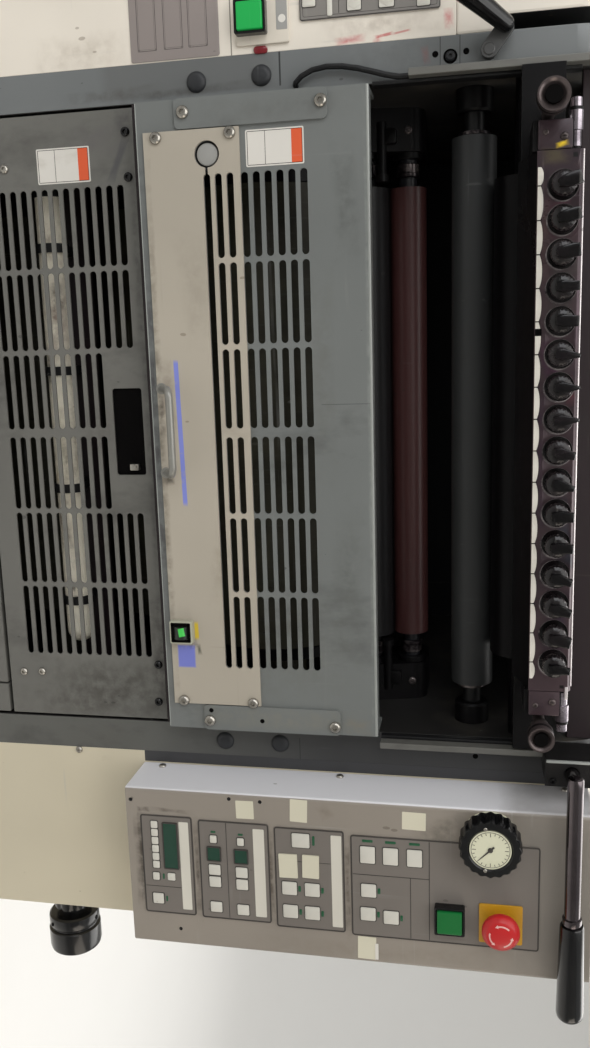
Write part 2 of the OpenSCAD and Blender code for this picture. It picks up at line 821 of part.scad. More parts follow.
module run_button(c, y) {
    translate([c[0], y - 3 - run_travel - 0.5, c[1]]) rotate([90, 0, 0])
        linear_extrude(7) rounded(run_w, run_w, 1.5);
}

module right_run_button() {
    color("green") run_button(run_c, panel_y);
}

module left_run_button() {
    color("green") run_button(left_run_c, left_panel_y);
}

module lever_bracket() {
    color("black") difference() {
        block([inner_x + 1, bracket_y, lever_bracket_z], [inner_x + 29, front_y, lever_bracket_z + 57]);
        bar_y(lever_c, bracket_y - 1, front_y - 20, 7 + fit);
    }
}

module lever_arm() {
    color("silver") {
        bar_x([lever_y, lever_c[1]], lever_c[0] - 12, lever_c[0] + lever_len - 20, lever_r);
        bar_y(lever_c, lever_y, front_y - 22, 7);
    }
}

module lever_grip() {
    tip = lever_c[0] + lever_len;
    c = [lever_y, lever_c[1]];
    color("black") difference() {
        union() {
            translate([tip - lever_grip_len, c[0], c[1]]) rotate([0, 90, 0])
                cylinder(h = lever_grip_len - 8, r1 = lever_grip_r - 1.5, r2 = lever_grip_r + 1);
            translate([tip - 8, c[0], c[1]]) rotate([0, 90, 0])
                cylinder(h = 8, r1 = lever_grip_r + 1, r2 = lever_grip_r - 5);
        }
        bar_x(c, tip - lever_grip_len - 1, tip - 20, lever_r + fit);
    }
}

// A two-stage hand knob with a grooved outer stage
module hand_knob() {
    color("black") {
        bar_x(hand_knob_c, side_x + 6, side_x + 43, hand_knob_r - 9);
        translate([side_x + 43, hand_knob_c[0], hand_knob_c[1]]) rotate([90, 0, 90])
            linear_extrude(hand_knob_out - 43) lobed(hand_knob_r, 12, 7);
        bar_x(hand_knob_c, side_x - 38, side_x + 7, 8);
    }
}

module left_side_cover() {
    color("antiquewhite") mirror([1, 0, 0]) difference() {
        along_x(outer_x, side_x)
            translate([front_y, cover_floor_gap]) square([frame_depth, left_cover_top - cover_floor_gap]);
        side_doors(left_cover_top);
    }
}

// The upper cover stands off the frame, which leaves the slot that the short lever works through
module left_upper_cover() {
    color("white") mirror([1, 0, 0]) {
        along_x(outer_x + left_gap, side_x) side_outline(left_cover_top, frame_top - 20);
        block([outer_x, front_y, left_cover_top], [outer_x + left_gap, back_y - 30, left_cover_top + 41]);
    }
}

// The left panel's plates: right edge, top edge, width, height and thickness
left_plates = [[25, 15, 143, 137, 2], [7, 163, 161, 54, 3], [1, 235, 168, 94, 1]];

// A thin plate on the left cover, placed by its right and top edges
module left_plate(right, top, w, h, t) {
    translate([-outer_x - right - w / 2, front_y, left_cover_top - top - h / 2])
        rotate([90, 0, 0]) linear_extrude(t) rounded(w, h, 2.5);
}

module left_panel() {
    color("gray") for (p = left_plates) left_plate(p[0], p[1], p[2], p[3], p[4]);
}

module left_lever() {
    back = front_y - 8;
    color("gray") {
        bar_y(left_lever_c, back, front_y + 29, 6);
        hull() {
            bar_y(left_lever_c, back - 6, back, 8);
            bar_y(left_tip, back - 6, back, 8);
        }
    }
}

module left_lever_grip() {
    color("black") difference() {
        hull() {
            translate([left_tip[0], front_y - 19, left_tip[1]]) sphere(8, $fn = 24);
            translate([left_tip[0] - 36, front_y - 66, left_tip[1] - 60]) sphere(12, $fn = 24);
        }
        block([left_tip[0] - 20, front_y - 14, left_tip[1] - 20],
              [left_tip[0] + 20, front_y, left_tip[1] + 20]);
    }
}

anchor_plates();
bed_frame();
left_side_frame();
right_side_frame();
tie_bars();
inner_bulkhead();
cover_ledges();
base_cover();
lower_cover();
cover_latch();
blower_pipe();
pipe_clips();
top_cover();
back_covers();
plate_cylinder();
blanket_cylinder();
impression_cylinder();
fountain_roller();
upper_roller();
red_roller();
form_roller();
roller_brackets();
fountain_block();
fountain_cheeks();
fountain_scale();
ink_keys();
left_fountain_knob();
right_fountain_knob();
guard_cover();
guard_band();
guard_handle();
switch_bezel();
switch_rocker();
opening_rails();
sensor_cable();
right_side_cover();
control_box();
membranes();
panel_keys();
dial_wheel();
dial_face();
stop_plate();
stop_button();
run_bezels();
right_run_button();
left_run_button();
lever_bracket();
lever_arm();
lever_grip();
hand_knob();
left_side_cover();
left_upper_cover();
left_panel();
left_lever();
left_lever_grip();
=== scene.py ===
"""Finishes and fine detail of one printing unit of a sheet-fed offset press."""

import json
import logging
import math
import random
from collections.abc import Callable
from dataclasses import dataclass, field
from enum import Enum

import bmesh
import bpy
from mathutils import Matrix, Vector

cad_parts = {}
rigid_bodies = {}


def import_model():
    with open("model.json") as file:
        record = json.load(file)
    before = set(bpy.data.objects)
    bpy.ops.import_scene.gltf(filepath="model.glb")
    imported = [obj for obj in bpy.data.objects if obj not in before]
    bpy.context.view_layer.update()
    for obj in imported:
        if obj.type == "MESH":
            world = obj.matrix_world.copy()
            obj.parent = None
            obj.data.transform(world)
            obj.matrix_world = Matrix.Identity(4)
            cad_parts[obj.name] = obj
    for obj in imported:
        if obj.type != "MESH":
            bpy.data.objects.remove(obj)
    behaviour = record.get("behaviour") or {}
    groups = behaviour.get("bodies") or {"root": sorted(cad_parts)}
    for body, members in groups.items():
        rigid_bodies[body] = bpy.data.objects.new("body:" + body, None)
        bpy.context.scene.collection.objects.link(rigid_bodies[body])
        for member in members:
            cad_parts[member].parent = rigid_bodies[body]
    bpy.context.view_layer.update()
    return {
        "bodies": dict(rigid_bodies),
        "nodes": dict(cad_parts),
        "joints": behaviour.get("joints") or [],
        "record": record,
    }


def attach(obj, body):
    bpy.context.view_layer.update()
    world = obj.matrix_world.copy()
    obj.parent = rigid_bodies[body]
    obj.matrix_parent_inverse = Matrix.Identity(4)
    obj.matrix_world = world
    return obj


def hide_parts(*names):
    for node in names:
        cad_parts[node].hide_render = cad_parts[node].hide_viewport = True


LOG = logging.getLogger("press_unit")
# Lengths in metres and angles in radians.
MM = 0.001
HARD_EDGE = 0.000001
WELD_REACH = 0.00002
BUMP_HEIGHT = 0.0006
FLAT_ANGLE = math.radians(0.5)
BEVEL_ANGLE = math.radians(50)
CREASE_ANGLE = math.radians(35)
CLEAN_EDGE = 0.96
Point = tuple[float, float, float]
Flat = tuple[float, float]
Box = tuple[float, float, float, float]
Color = tuple[float, float, float]
Socket = bpy.types.NodeSocket
Shape = Callable[[float, int], float]


def srgb(*screen: float) -> Color:
    """Turns screen values into the linear colour that a shader takes.

    Args:
        screen: Red, green and blue, 0 to 255.

    Returns:
        The linear colour.
    """
    parts = [value / 255 for value in screen]
    return tuple(part / 12.92 if part <= 0.04045 else ((part + 0.055) / 1.055) ** 2.4 for part in parts)


class Axis(Enum):
    """The way that a round piece points."""

    RIGHT = (1, 0, 0)
    LEFT = (-1, 0, 0)
    FRONT = (0, -1, 0)
    BACK = (0, 1, 0)
    UP = (0, 0, 1)


BOTH_SIDES = ((-1, Axis.LEFT), (1, Axis.RIGHT))


class Drive(Enum):
    """The recess in the head of a fastener."""

    SOCKET = "six sides"
    SLOT = "one slot"


@dataclass
class NodePen:
    """Lays shader nodes in one tree and joins them."""

    tree: bpy.types.NodeTree

    def add(self, kind: str, inputs: dict[str | int, object] | None = None, **settings: object) -> bpy.types.Node:
        """Adds a node.

        Args:
            kind: The node's type name, without its common prefix.
            inputs: Values or sockets for its inputs, by name or number.
            settings: Properties to set on the node.

        Returns:
            The new node.
        """
        node = self.tree.nodes.new("ShaderNode" + kind)
        for name, value in settings.items():
            setattr(node, name, value)
        for key, value in (inputs or {}).items():
            self.feed(node.inputs[key], value)
        return node

    def feed(self, socket: Socket, value: object) -> None:
        """Joins a socket to an input, or sets the input to a plain value.

        Args:
            socket: The input to feed.
            value: An output socket, a number or a colour.
        """
        if isinstance(value, Socket):
            self.tree.links.new(value, socket)
        elif socket.type == "RGBA" and len(value) == 3:
            socket.default_value = (*value, 1.0)
        else:
            socket.default_value = value

    def math(self, operation: str, first: object, second: object = 0.0) -> Socket:
        """Returns the result of a sum on two numbers."""
        return self.add("Math", {0: first, 1: second}, operation=operation).outputs[0]

    def times(self, first: object, second: object) -> Socket:
        """Returns the product of two numbers."""
        return self.math("MULTIPLY", first, second)

    def ramp(self, value: object, low: object, high: object) -> Socket:
        """Returns value spread from 0 at low to 1 at high, clamped."""
        return self.add("MapRange", {0: value, 1: low, 2: high}, clamp=True).outputs[0]

    def noise(self, where: object, scale: float, detail: float = 3.0, rough: float = 0.55) -> Socket:
        """Returns a smooth noise of about 0 to 1 over the surface."""
        inputs = {"Vector": where, "Scale": scale, "Detail": detail, "Roughness": rough}
        return self.add("TexNoise", inputs).outputs[0]

    def apart(self, vector: object) -> list[Socket]:
        """Returns the three parts of a vector."""
        return self.add("SeparateXYZ", {0: vector}).outputs

    def blend(self, share: object, first: object, second: object) -> Socket:
        """Returns two colours mixed by a share."""
        return self.add("Mix", {0: share, 6: first, 7: second}, data_type="RGBA").outputs[2]


class GroupShelf:
    """Builds each shared shader group once and hands it out."""

    def __init__(self) -> None:
        """Starts with an empty shelf."""
        self.made: dict[str, bpy.types.NodeTree] = {}

    def take(self, name: str) -> bpy.types.NodeTree:
        """Returns a group by name, built at its first use."""
        if name not in self.made:
            getattr(self, "build_" + name.lower())()
        return self.made[name]

    def open_group(self, name: str, takes: dict[str, float], *gives: str) -> tuple[NodePen, object, object]:
        """Starts a new group.

        Args:
            name: The group's name.
            takes: Its float inputs with their defaults; a vector input named Place is always added.
            gives: The names of its float outputs.

        Returns:
            The pen that draws in it, its input sockets and its output node's sockets.
        """
        tree = bpy.data.node_groups.new(name, "ShaderNodeTree")
        tree.interface.new_socket("Place", in_out="INPUT", socket_type="NodeSocketVector")
        for key, value in takes.items():
            socket = tree.interface.new_socket(key, in_out="INPUT", socket_type="NodeSocketFloat")
            socket.default_value = value
        for key in gives:
            tree.interface.new_socket(key, in_out="OUTPUT", socket_type="NodeSocketFloat")
        self.made[name] = tree
        start, end = tree.nodes.new("NodeGroupInput"), tree.nodes.new("NodeGroupOutput")
        return NodePen(tree), start.outputs, end.inputs

    def build_grime(self) -> None:
        """Builds the group that puts out smeared dirt, fine specks and slow mottling."""
        takes = {"Scale": 1.0, "Amount": 0.4, "Runs": 3.0}
        pen, given, out = self.open_group("Grime", takes, "Dirt", "Specks", "Mottle")
        stretch = pen.add("CombineXYZ", {0: 1.0, 1: 1.0, 2: pen.math("DIVIDE", 1.0, given["Runs"])}).outputs[0]
        long = pen.add("VectorMath", {0: given["Place"], 1: stretch}, operation="MULTIPLY").outputs[0]
        sized = pen.add("VectorMath", {0: long, 3: given["Scale"]}, operation="SCALE").outputs[0]
        broad, fine = pen.noise(sized, 9.0, 5.0, 0.62), pen.noise(sized, 60.0, 4.0, 0.6)
        mixed = pen.math("ADD", pen.times(broad, 0.7), pen.times(fine, 0.3))
        low = pen.math("SUBTRACT", 0.75, pen.times(given["Amount"], 0.45))
        pen.feed(out["Dirt"], pen.ramp(mixed, low, pen.math("ADD", low, 0.22)))
        dots = pen.add("TexVoronoi", {"Vector": sized, "Scale": 95.0}, feature="F1").outputs["Distance"]
        reach = pen.times(pen.ramp(pen.noise(sized, 33.0, 2.0), 0.6, 0.78), 0.3)
        pen.feed(out["Specks"], pen.math("LESS_THAN", dots, reach))
        pen.feed(out["Mottle"], pen.noise(given["Place"], 3.2, 3.0))

    def build_scuffs(self) -> None:
        """Builds the group that puts out thin scratches and a fine surface grain."""
        pen, given, out = self.open_group("Scuffs", {"Scale": 1.0, "Amount": 0.3}, "Scratches", "Grain")
        sized = pen.add("VectorMath", {0: given["Place"], 3: given["Scale"]}, operation="SCALE").outputs[0]
        total = 0.0
        for turn, squeezed in ((0.4, (6, 140, 140)), (1.2, (140, 140, 6)), (2.3, (6, 140, 140))):
            inputs = {"Vector": sized, "Rotation": (0.0, turn, 0.0), "Scale": squeezed}
            share = pen.ramp(pen.noise(pen.add("Mapping", inputs).outputs[0], 1.0, 1.0), 0.72, 0.78)
            total = pen.math("MAXIMUM", share, total)
        patchy = pen.ramp(pen.noise(sized, 14.0, 2.0), 0.45, 0.65)
        pen.feed(out["Scratches"], pen.times(pen.times(total, patchy), given["Amount"]))
        pen.feed(out["Grain"], pen.noise(sized, 900.0, 2.0))

    def build_patch(self) -> None:
        """Builds the group that marks one upright patch of a surface, with a clean or a ragged edge."""
        names = ("X", "Z", "Half Width", "Half Height", "Turn", "Ragged", "Broken", "Soft")
        pen, given, out = self.open_group("Patch", dict.fromkeys(names, 0.0), "Mask")
        x, _, z = pen.apart(given["Place"])
        right, up = pen.math("SUBTRACT", x, given["X"]), pen.math("SUBTRACT", z, given["Z"])
        cosine, sine = pen.math("COSINE", given["Turn"]), pen.math("SINE", given["Turn"])
        along = pen.math("ADD", pen.times(right, cosine), pen.times(up, sine))
        across = pen.math("SUBTRACT", pen.times(up, cosine), pen.times(right, sine))
        shares = [pen.math("DIVIDE", pen.math("ABSOLUTE", value), given[half])
                  for value, half in ((along, "Half Width"), (across, "Half Height"))]
        wave = pen.times(pen.math("SUBTRACT", pen.noise(given["Place"], 70.0, 4.0), 0.5), given["Ragged"])
        reach = pen.math("ADD", pen.math("MAXIMUM", *shares), wave)
        inside = pen.math("SUBTRACT", 1.0, pen.ramp(reach, pen.math("SUBTRACT", CLEAN_EDGE, given["Soft"]), 1.02))
        whole = pen.math("ADD", given["Broken"], 0.3)
        holes = pen.ramp(pen.noise(given["Place"], 85.0, 4.0, 0.6), given["Broken"], whole)
        pen.feed(out["Mask"], pen.times(inside, holes))


SHELF = GroupShelf()


@dataclass(frozen=True)
class StainAndLight:
    """A local mark on a surface, a stain or a painted shadow or highlight, in millimetres on the upright plane."""

    at: Flat
    half: Flat
    color: Color
    strength: float = 0.8
    turn: float = 0.0
    ragged: float = 0.0
    broken: float = 0.0
    soft: float = 0.0

    def paint(self, pen: NodePen, place: Socket, color: Socket) -> Socket:
        """Lays the mark over a colour.

        Args:
            pen: Draws in the material's tree.
            place: The surface coordinates.
            color: The colour so far.

        Returns:
            The colour with the mark on it.
        """
        inputs = {
            "Place": place, "X": self.at[0] * MM, "Z": self.at[1] * MM, "Half Width": self.half[0] * MM,
            "Half Height": self.half[1] * MM, "Turn": math.radians(self.turn), "Ragged": self.ragged,
            "Broken": self.broken, "Soft": self.soft,
        }
        mask = pen.add("Group", inputs, node_tree=SHELF.take("Patch")).outputs[0]
        return pen.blend(pen.times(mask, self.strength), color, self.color)


def smudges_and_light(*rows: tuple[float, ...]) -> list[StainAndLight]:
    """Makes soft, uneven marks: stains, and some painted shadows and highlights.

    Args:
        rows: Each one's X, Z, half width, half height, red, green, blue, strength and turn, if it has one.

    Returns:
        The stains.
    """
    return [StainAndLight((x, z), (wide, high), srgb(red, green, blue), strength, sum(turn), 0.9, 0.3, 0.75)
            for x, z, wide, high, red, green, blue, strength, *turn in rows]


@dataclass(frozen=True)
class Zone:
    """A part of a surface with a colour of its own or painted shade, within limits in metres."""

    color: Color
    x: Flat | None = None
    z: Flat | None = None
    out: Flat | None = None
    fade: float = HARD_EDGE
    dirt: float = 0.0
    smear: Color | None = None

    def paint(self, pen: NodePen, place: Socket, color: Socket, dirt: Socket, dirt_color: Color) -> Socket:
        """Lays the zone over a colour.

        Args:
            pen: Draws in the material's tree.
            place: The surface coordinates.
            color: The colour so far.
            dirt: Where the surface is dirty.
            dirt_color: The dirt's colour.

        Returns:
            The colour with the zone on it.
        """
        x, _, z = pen.apart(place)
        own, share = self.color, 1.0
        for value, limits in ((x, self.x), (z, self.z), (pen.math("ABSOLUTE", x), self.out)):
            if limits:
                within = pen.math("LESS_THAN", value, limits[1])
                share = pen.times(share, pen.times(within, pen.ramp(value, limits[0], limits[0] + self.fade)))
        if self.dirt:
            own = pen.blend(pen.times(dirt, self.dirt), own, dirt_color)
        if self.smear:
            own = pen.blend(pen.ramp(pen.noise(place, 16.0, 5.0), 0.52, 0.7), own, self.smear)
        return pen.blend(share, color, own)


@dataclass(frozen=True)
class Finish:
    """One surface finish, made from its numbers as a procedural material."""

    name: str
    color: Color
    rough: float = 0.5
    metal: float = 0.0
    dirt_color: Color = (0.02, 0.018, 0.016)
    dirt: float = 0.3
    dirt_scale: float = 1.0
    runs: float = 2.0
    specks: float = 0.5
    mottle: float = 0.08
    scratch: float = 0.3
    scratch_color: Color = (0.4, 0.4, 0.38)
    bump: float = 0.05
    coat: float = 0.0
    specular: float = 0.5
    glow: float = 0.0
    zones: tuple[Zone, ...] = ()
    stains_and_light: tuple[StainAndLight, ...] = ()

    def build(self) -> bpy.types.Material:
        """Makes the material.

        Returns:
            The material, ready to assign.
        """
        material = bpy.data.materials.new(self.name)
        material.use_nodes = True
        material.node_tree.nodes.clear()
        pen = NodePen(material.node_tree)
        place = pen.add("TexCoord").outputs["Object"]
        inputs = {"Place": place, "Scale": self.dirt_scale, "Amount": self.dirt, "Runs": self.runs}
        grime = pen.add("Group", inputs, node_tree=SHELF.take("Grime")).outputs
        inputs = {"Place": place, "Amount": self.scratch}
        scuff = pen.add("Group", inputs, node_tree=SHELF.take("Scuffs")).outputs
        color = self.base_color(pen, place, grime)
        for stain_and_light in self.stains_and_light:
            color = stain_and_light.paint(pen, place, color)
        color = pen.blend(pen.times(grime["Specks"], self.specks), color, self.dirt_color)
        color = pen.blend(scuff["Scratches"], color, self.scratch_color)
        uneven = pen.times(pen.math("SUBTRACT", grime["Mottle"], 0.5), 0.25)
        rough = pen.math("ADD", pen.math("ADD", self.rough, uneven), pen.times(grime["Dirt"], 0.12))
        height = pen.math("ADD", pen.times(scuff["Grain"], 0.5), grime["Dirt"])
        bump = pen.add("Bump", {"Strength": self.bump, "Distance": BUMP_HEIGHT, "Height": height}).outputs[0]
        inputs = {
            "Base Color": color, "Roughness": rough, "Normal": bump, "Metallic": self.metal, "Coat Weight": self.coat,
            "Specular IOR Level": self.specular,
        }
        if self.glow:
            inputs |= {"Emission Color": color, "Emission Strength": self.glow}
        shader = pen.add("BsdfPrincipled", inputs)
        pen.add("OutputMaterial", {"Surface": shader.outputs[0]})
        material.diffuse_color = (*self.color, 1.0)
        return material

    def base_color(self, pen: NodePen, place: Socket, grime: object) -> Socket:
        """Mixes the paint with its slow mottling, its dirt and its zones.

        Args:
            pen: Draws in the material's tree.
            place: The surface coordinates.
            grime: The placed grime group's outputs.

        Returns:
            The colour socket.
        """
        light = tuple(min(1.0, c * (1 + self.mottle)) for c in self.color)
        dark = tuple(c * (1 - self.mottle) for c in self.color)
        color = pen.blend(pen.ramp(grime["Mottle"], 0.35, 0.65), dark, light)
        color = pen.blend(pen.times(grime["Dirt"], min(1.0, self.dirt * 1.4)), color, self.dirt_color)
        for zone in self.zones:
            color = zone.paint(pen, place, color, grime["Dirt"], self.dirt_color)
        return color


@dataclass(frozen=True)
class BoxPaintWithLitSides(Finish):
    """The control box's paint: a warm grey face, and sides made bright as painted light."""

    lit_side_color: Color = (0.7, 0.68, 0.67)

    def base_color(self, pen: NodePen, place: Socket, grime: object) -> Socket:
        """Returns the face's colour, and a bright one, painted light, where the surface looks sideways."""
        sideways = pen.math("ABSOLUTE", pen.apart(pen.add("TexCoord").outputs["Normal"])[0])
        return pen.blend(pen.ramp(sideways, 0.6, 0.8), super().base_color(pen, place, grime), self.lit_side_color)


@dataclass(frozen=True)
class TickedDrum(Finish):
    """A ground steel cylinder with faint marks round it and dried ink along it."""

    mark_color: Color = (0.05, 0.048, 0.04)

    def base_color(self, pen: NodePen, place: Socket, grime: object) -> Socket:
        """Returns the steel with its rows of fine marks."""
        row = pen.math("LESS_THAN", pen.math("FRACT", pen.times(pen.apart(place)[0], 62.0)), 0.12)
        worn = pen.times(row, pen.ramp(pen.noise(place, 45.0, 2.0), 0.45, 0.6))
        return pen.blend(pen.times(worn, 0.6), super().base_color(pen, place, grime), self.mark_color)


BAND_STAINS_AND_SHADOWS = (
    StainAndLight((0.5, 1084.4), (76.8, 2.5), srgb(110, 124, 212), 0.85, 1.0, 0.1, 0.12),
    StainAndLight((248.5, 1078), (13.5, 10.5), srgb(98, 110, 200), 0.85, 0, 0.08, 0.1, 0.1),
    StainAndLight((218, 1091), (11, 2.6), srgb(206, 178, 40), 0.95, 1, 0.9, 0.2, 0.3),
    *smudges_and_light(
        (234, 1086, 6, 6, 40, 44, 70, 0.8, 20), (240, 1093, 7, 2.6, 50, 56, 40, 0.8, 8),
        # The dark patches under the handle wire and at its feet are its painted shadow; the long band along the foot,
        # at 1061 mm, is painted shade.
        (-22, 1065, 26, 3.4, 66, 60, 52, 0.85, 1), (48, 1069, 9, 6, 70, 64, 54, 0.85, 10),
        (-40, 1072, 40, 8, 112, 98, 84, 0.5, 2), (150, 1122, 40, 12, 126, 116, 98, 0.35, -6),
        (0, 1061, 306, 7, 96, 88, 74, 0.65), (-150, 1110, 60, 20, 140, 132, 118, 0.35, 8),
    ),
)
GUARD_STAINS_SHADE_AND_HIGHLIGHT = (
    StainAndLight((-28, 1264), (0.35, 27), srgb(52, 54, 54), 0.7),
    *smudges_and_light(
        # The pale band along the top edge, at 1288 mm, is a painted highlight; the long grey band along the foot, at
        # 1056 mm, is stain and painted shade.
        (-52, 1056, 34, 4, 44, 40, 46, 0.9, 1), (26, 1057, 40, 3.4, 50, 48, 50, 0.85),
        (-119, 1057, 22, 3.6, 50, 44, 52, 0.8), (-264, 1052, 24, 4, 60, 58, 62, 0.7, 4),
        (120, 1057, 30, 3, 62, 58, 56, 0.8), (0, 1056, 330, 4.5, 76, 76, 76, 0.6),
        (240, 1150, 60, 120, 96, 97, 90, 0.5, 4), (324, 1270, 10, 16, 120, 112, 96, 0.5),
        (-230, 1266, 60, 14, 78, 80, 77, 0.5, 3), (160, 1262, 90, 18, 86, 88, 84, 0.45, -2),
        (-60, 1240, 120, 14, 92, 92, 86, 0.4), (0, 1288, 334, 3.6, 150, 153, 148, 0.5),
        (318, 1180, 14, 100, 128, 124, 110, 0.4), (-318, 1200, 14, 90, 90, 90, 86, 0.4),
    ),
)
FRAME_STAINS = (
    StainAndLight((-361, 1199), (16, 0.9), srgb(32, 34, 34), 0.95, 0, 0.1),
    StainAndLight((-361, 1102), (18, 96), srgb(92, 93, 92), 0.7, 0, 0.1, 0.0, 0.1),
    *smudges_and_light(
        (-347, 1100, 5, 80, 74, 74, 72, 0.8, 2),
    ),
    StainAndLight((364.5, 1198), (13.5, 0.5), srgb(26, 27, 28), 0.9),
    StainAndLight((-361, 1357.6), (16, 0.45), srgb(48, 50, 50), 0.9),
    StainAndLight((-361, 1376.4), (16, 0.45), srgb(48, 50, 50), 0.9),
    *smudges_and_light(
        (-361, 1344, 9, 4, 134, 60, 58, 0.4, 12), (-350, 1020, 7, 60, 72, 70, 66, 0.5, 2),
        (-362, 1300, 16, 60, 84, 86, 84, 0.35), (362, 960, 16, 60, 84, 82, 76, 0.4),
    ),
)
LEFT_STAINS = (
    *smudges_and_light(
        (-392, 1366, 11, 5.5, 186, 62, 70, 0.95, 4),
    ),
    StainAndLight((-384.3, 1321), (1.1, 9), srgb(190, 92, 92), 0.7, 8, 0.5, 0.2, 0.4),
    StainAndLight((-382.6, 1303), (1.6, 9), srgb(188, 84, 84), 0.8, 8, 0.6, 0.1, 0.4),
    *smudges_and_light(
        (-379.6, 1297, 4.6, 6, 190, 60, 66, 0.95, -4), (-381.5, 1271, 4.4, 17, 196, 104, 106, 0.85, 4),
        (-392, 1300, 12, 70, 140, 126, 112, 0.35, 1), (-392, 990, 20, 60, 160, 146, 128, 0.3, 1),
    ),
    StainAndLight((-470, 1150), (130, 0.6), srgb(96, 90, 80), 0.8),
)
FOUNTAIN_STAINS_AND_HOLE_SHADE = (
    # Two near-black dots: painted shade in holes in the plate.
    StainAndLight((-246, 1478.6), (2.2, 2.2), srgb(8, 7, 7), 1.0, 0, 0.3, 0.0, 0.2),
    StainAndLight((246, 1477.6), (1.8, 2.2), srgb(12, 10, 10), 0.95, 0, 0.3, 0.0, 0.2),
    *smudges_and_light(
        (-255.5, 1467, 2.6, 6, 232, 196, 26, 1.0, 14), (-120, 1484, 60, 3, 110, 92, 102, 0.6, 0),
        (-130, 1470, 34, 14, 66, 74, 66, 0.7, -8), (-196, 1466, 20, 12, 96, 46, 66, 0.7, 10),
        (-60, 1462, 30, 10, 84, 46, 74, 0.6, 6), (-246, 1462, 8, 14, 84, 76, 56, 0.7, 0),
        (20, 1452, 80, 6, 58, 38, 60, 0.6), (90, 1474, 40, 9, 30, 60, 74, 0.6, 4),
        (190, 1470, 44, 12, 44, 34, 56, 0.7, -5), (-180, 1454, 50, 5, 96, 74, 72, 0.5),
        (45, 1477, 7, 4, 150, 110, 40, 0.7, 8), (74, 1477, 8, 3, 196, 150, 50, 0.8, 8),
        (-40, 1478, 16, 5, 120, 60, 70, 0.5, 8),
    ),
)
BOX_STAINS_AND_SHADE = (
    # The broad patch over the top of the box front is painted shade.
    StainAndLight((480, 1480), (130, 60), srgb(119, 114, 107), 0.75, 0, 0.2, 0.0, 0.5),
    *smudges_and_light(
        (404, 1236, 10, 8, 104, 92, 78, 0.4, 30), (566, 1300, 12, 160, 122, 112, 100, 0.35, 1),
        (470, 1496, 60, 10, 90, 80, 66, 0.5, -3), (418, 1360, 16, 26, 100, 94, 84, 0.7, 20),
        # The thin dark lines along the films' edges and in the gaps between them are grime and painted shade.
        (476, 1025.6, 64, 3.2, 52, 42, 34, 0.95), (480, 1023, 60, 6, 84, 76, 66, 0.7),
        (415, 1030, 3.2, 8, 60, 50, 42, 0.9), (537, 1052, 3, 28, 64, 54, 46, 0.85, -2),
        (538, 1130, 3, 38, 70, 60, 50, 0.8, -2), (415, 1064, 3, 26, 76, 66, 56, 0.7, -2),
        (486, 1175, 62, 3.6, 70, 60, 50, 0.8), (484, 1091, 62, 3.4, 64, 54, 46, 0.85),
        (488, 1260, 62, 3.2, 74, 64, 54, 0.8), (404, 1018, 3.4, 1.6, 30, 26, 24, 0.95, -20),
    ),
)
PIPE_STAINS_AND_HIGHLIGHTS = (
    *smudges_and_light(
        # The five near-white streaks are painted highlights; the brown and dark patches are rust and dirt.
        (-84, 927, 46, 4.5, 240, 236, 218, 0.95, 3), (10, 921, 50, 4.5, 236, 232, 208, 0.9, 3),
        (86, 928, 26, 5, 238, 228, 206, 0.9, 3), (160, 920, 44, 5, 240, 234, 220, 0.9, 2),
        (230, 921, 18, 7, 234, 228, 212, 0.9, 2), (-120, 925, 50, 14, 92, 50, 46, 0.7),
        (110, 915, 54, 14, 80, 58, 50, 0.7, 4), (-210, 921, 24, 16, 120, 104, 90, 0.7),
        (-150, 928, 16, 7, 60, 50, 44, 0.85, 6), (-70, 912, 30, 6, 70, 60, 50, 0.8, -4),
        (30, 926, 26, 6, 88, 70, 56, 0.8, 5), (60, 910, 18, 8, 150, 128, 84, 0.7, 5),
        (190, 922, 12, 6, 60, 40, 36, 0.8),
    ),
)
COVER_STAINS_AND_SHADOW = (
    StainAndLight((-286, 1023), (29, 5), srgb(62, 62, 66), 0.65, -24, 0.5, 0.0, 0.6),
    *smudges_and_light(
        # The bands along the top, under the guard, are its painted shadow; the patches at the right edge make the
        # cover darker towards the right.
        (-320, 1030, 18, 10, 64, 62, 62, 0.7, -8), (0, 1040, 330, 6, 66, 64, 62, 0.65),
        (300, 975, 40, 90, 68, 66, 60, 0.85, 2), (-305, 1000, 20, 40, 88, 84, 84, 0.5, 2),
        (260, 1036, 90, 12, 56, 53, 49, 0.7), (-180, 1037, 130, 6, 70, 68, 64, 0.5),
        (318, 940, 20, 96, 70, 67, 62, 0.6), (0, 985, 46, 40, 78, 76, 72, 0.45),
        (-310, 900, 26, 60, 82, 80, 76, 0.4),
    ),
)
# Near black on the frames' inner walls, inward of 339.6 mm: oily dirt and painted shade in the opening.
OILY_WALL_AND_SHADE = Zone((0.02, 0.019, 0.018), out=(-1, 0.3396), smear=srgb(64, 60, 54))
INK = srgb(30, 22, 30)
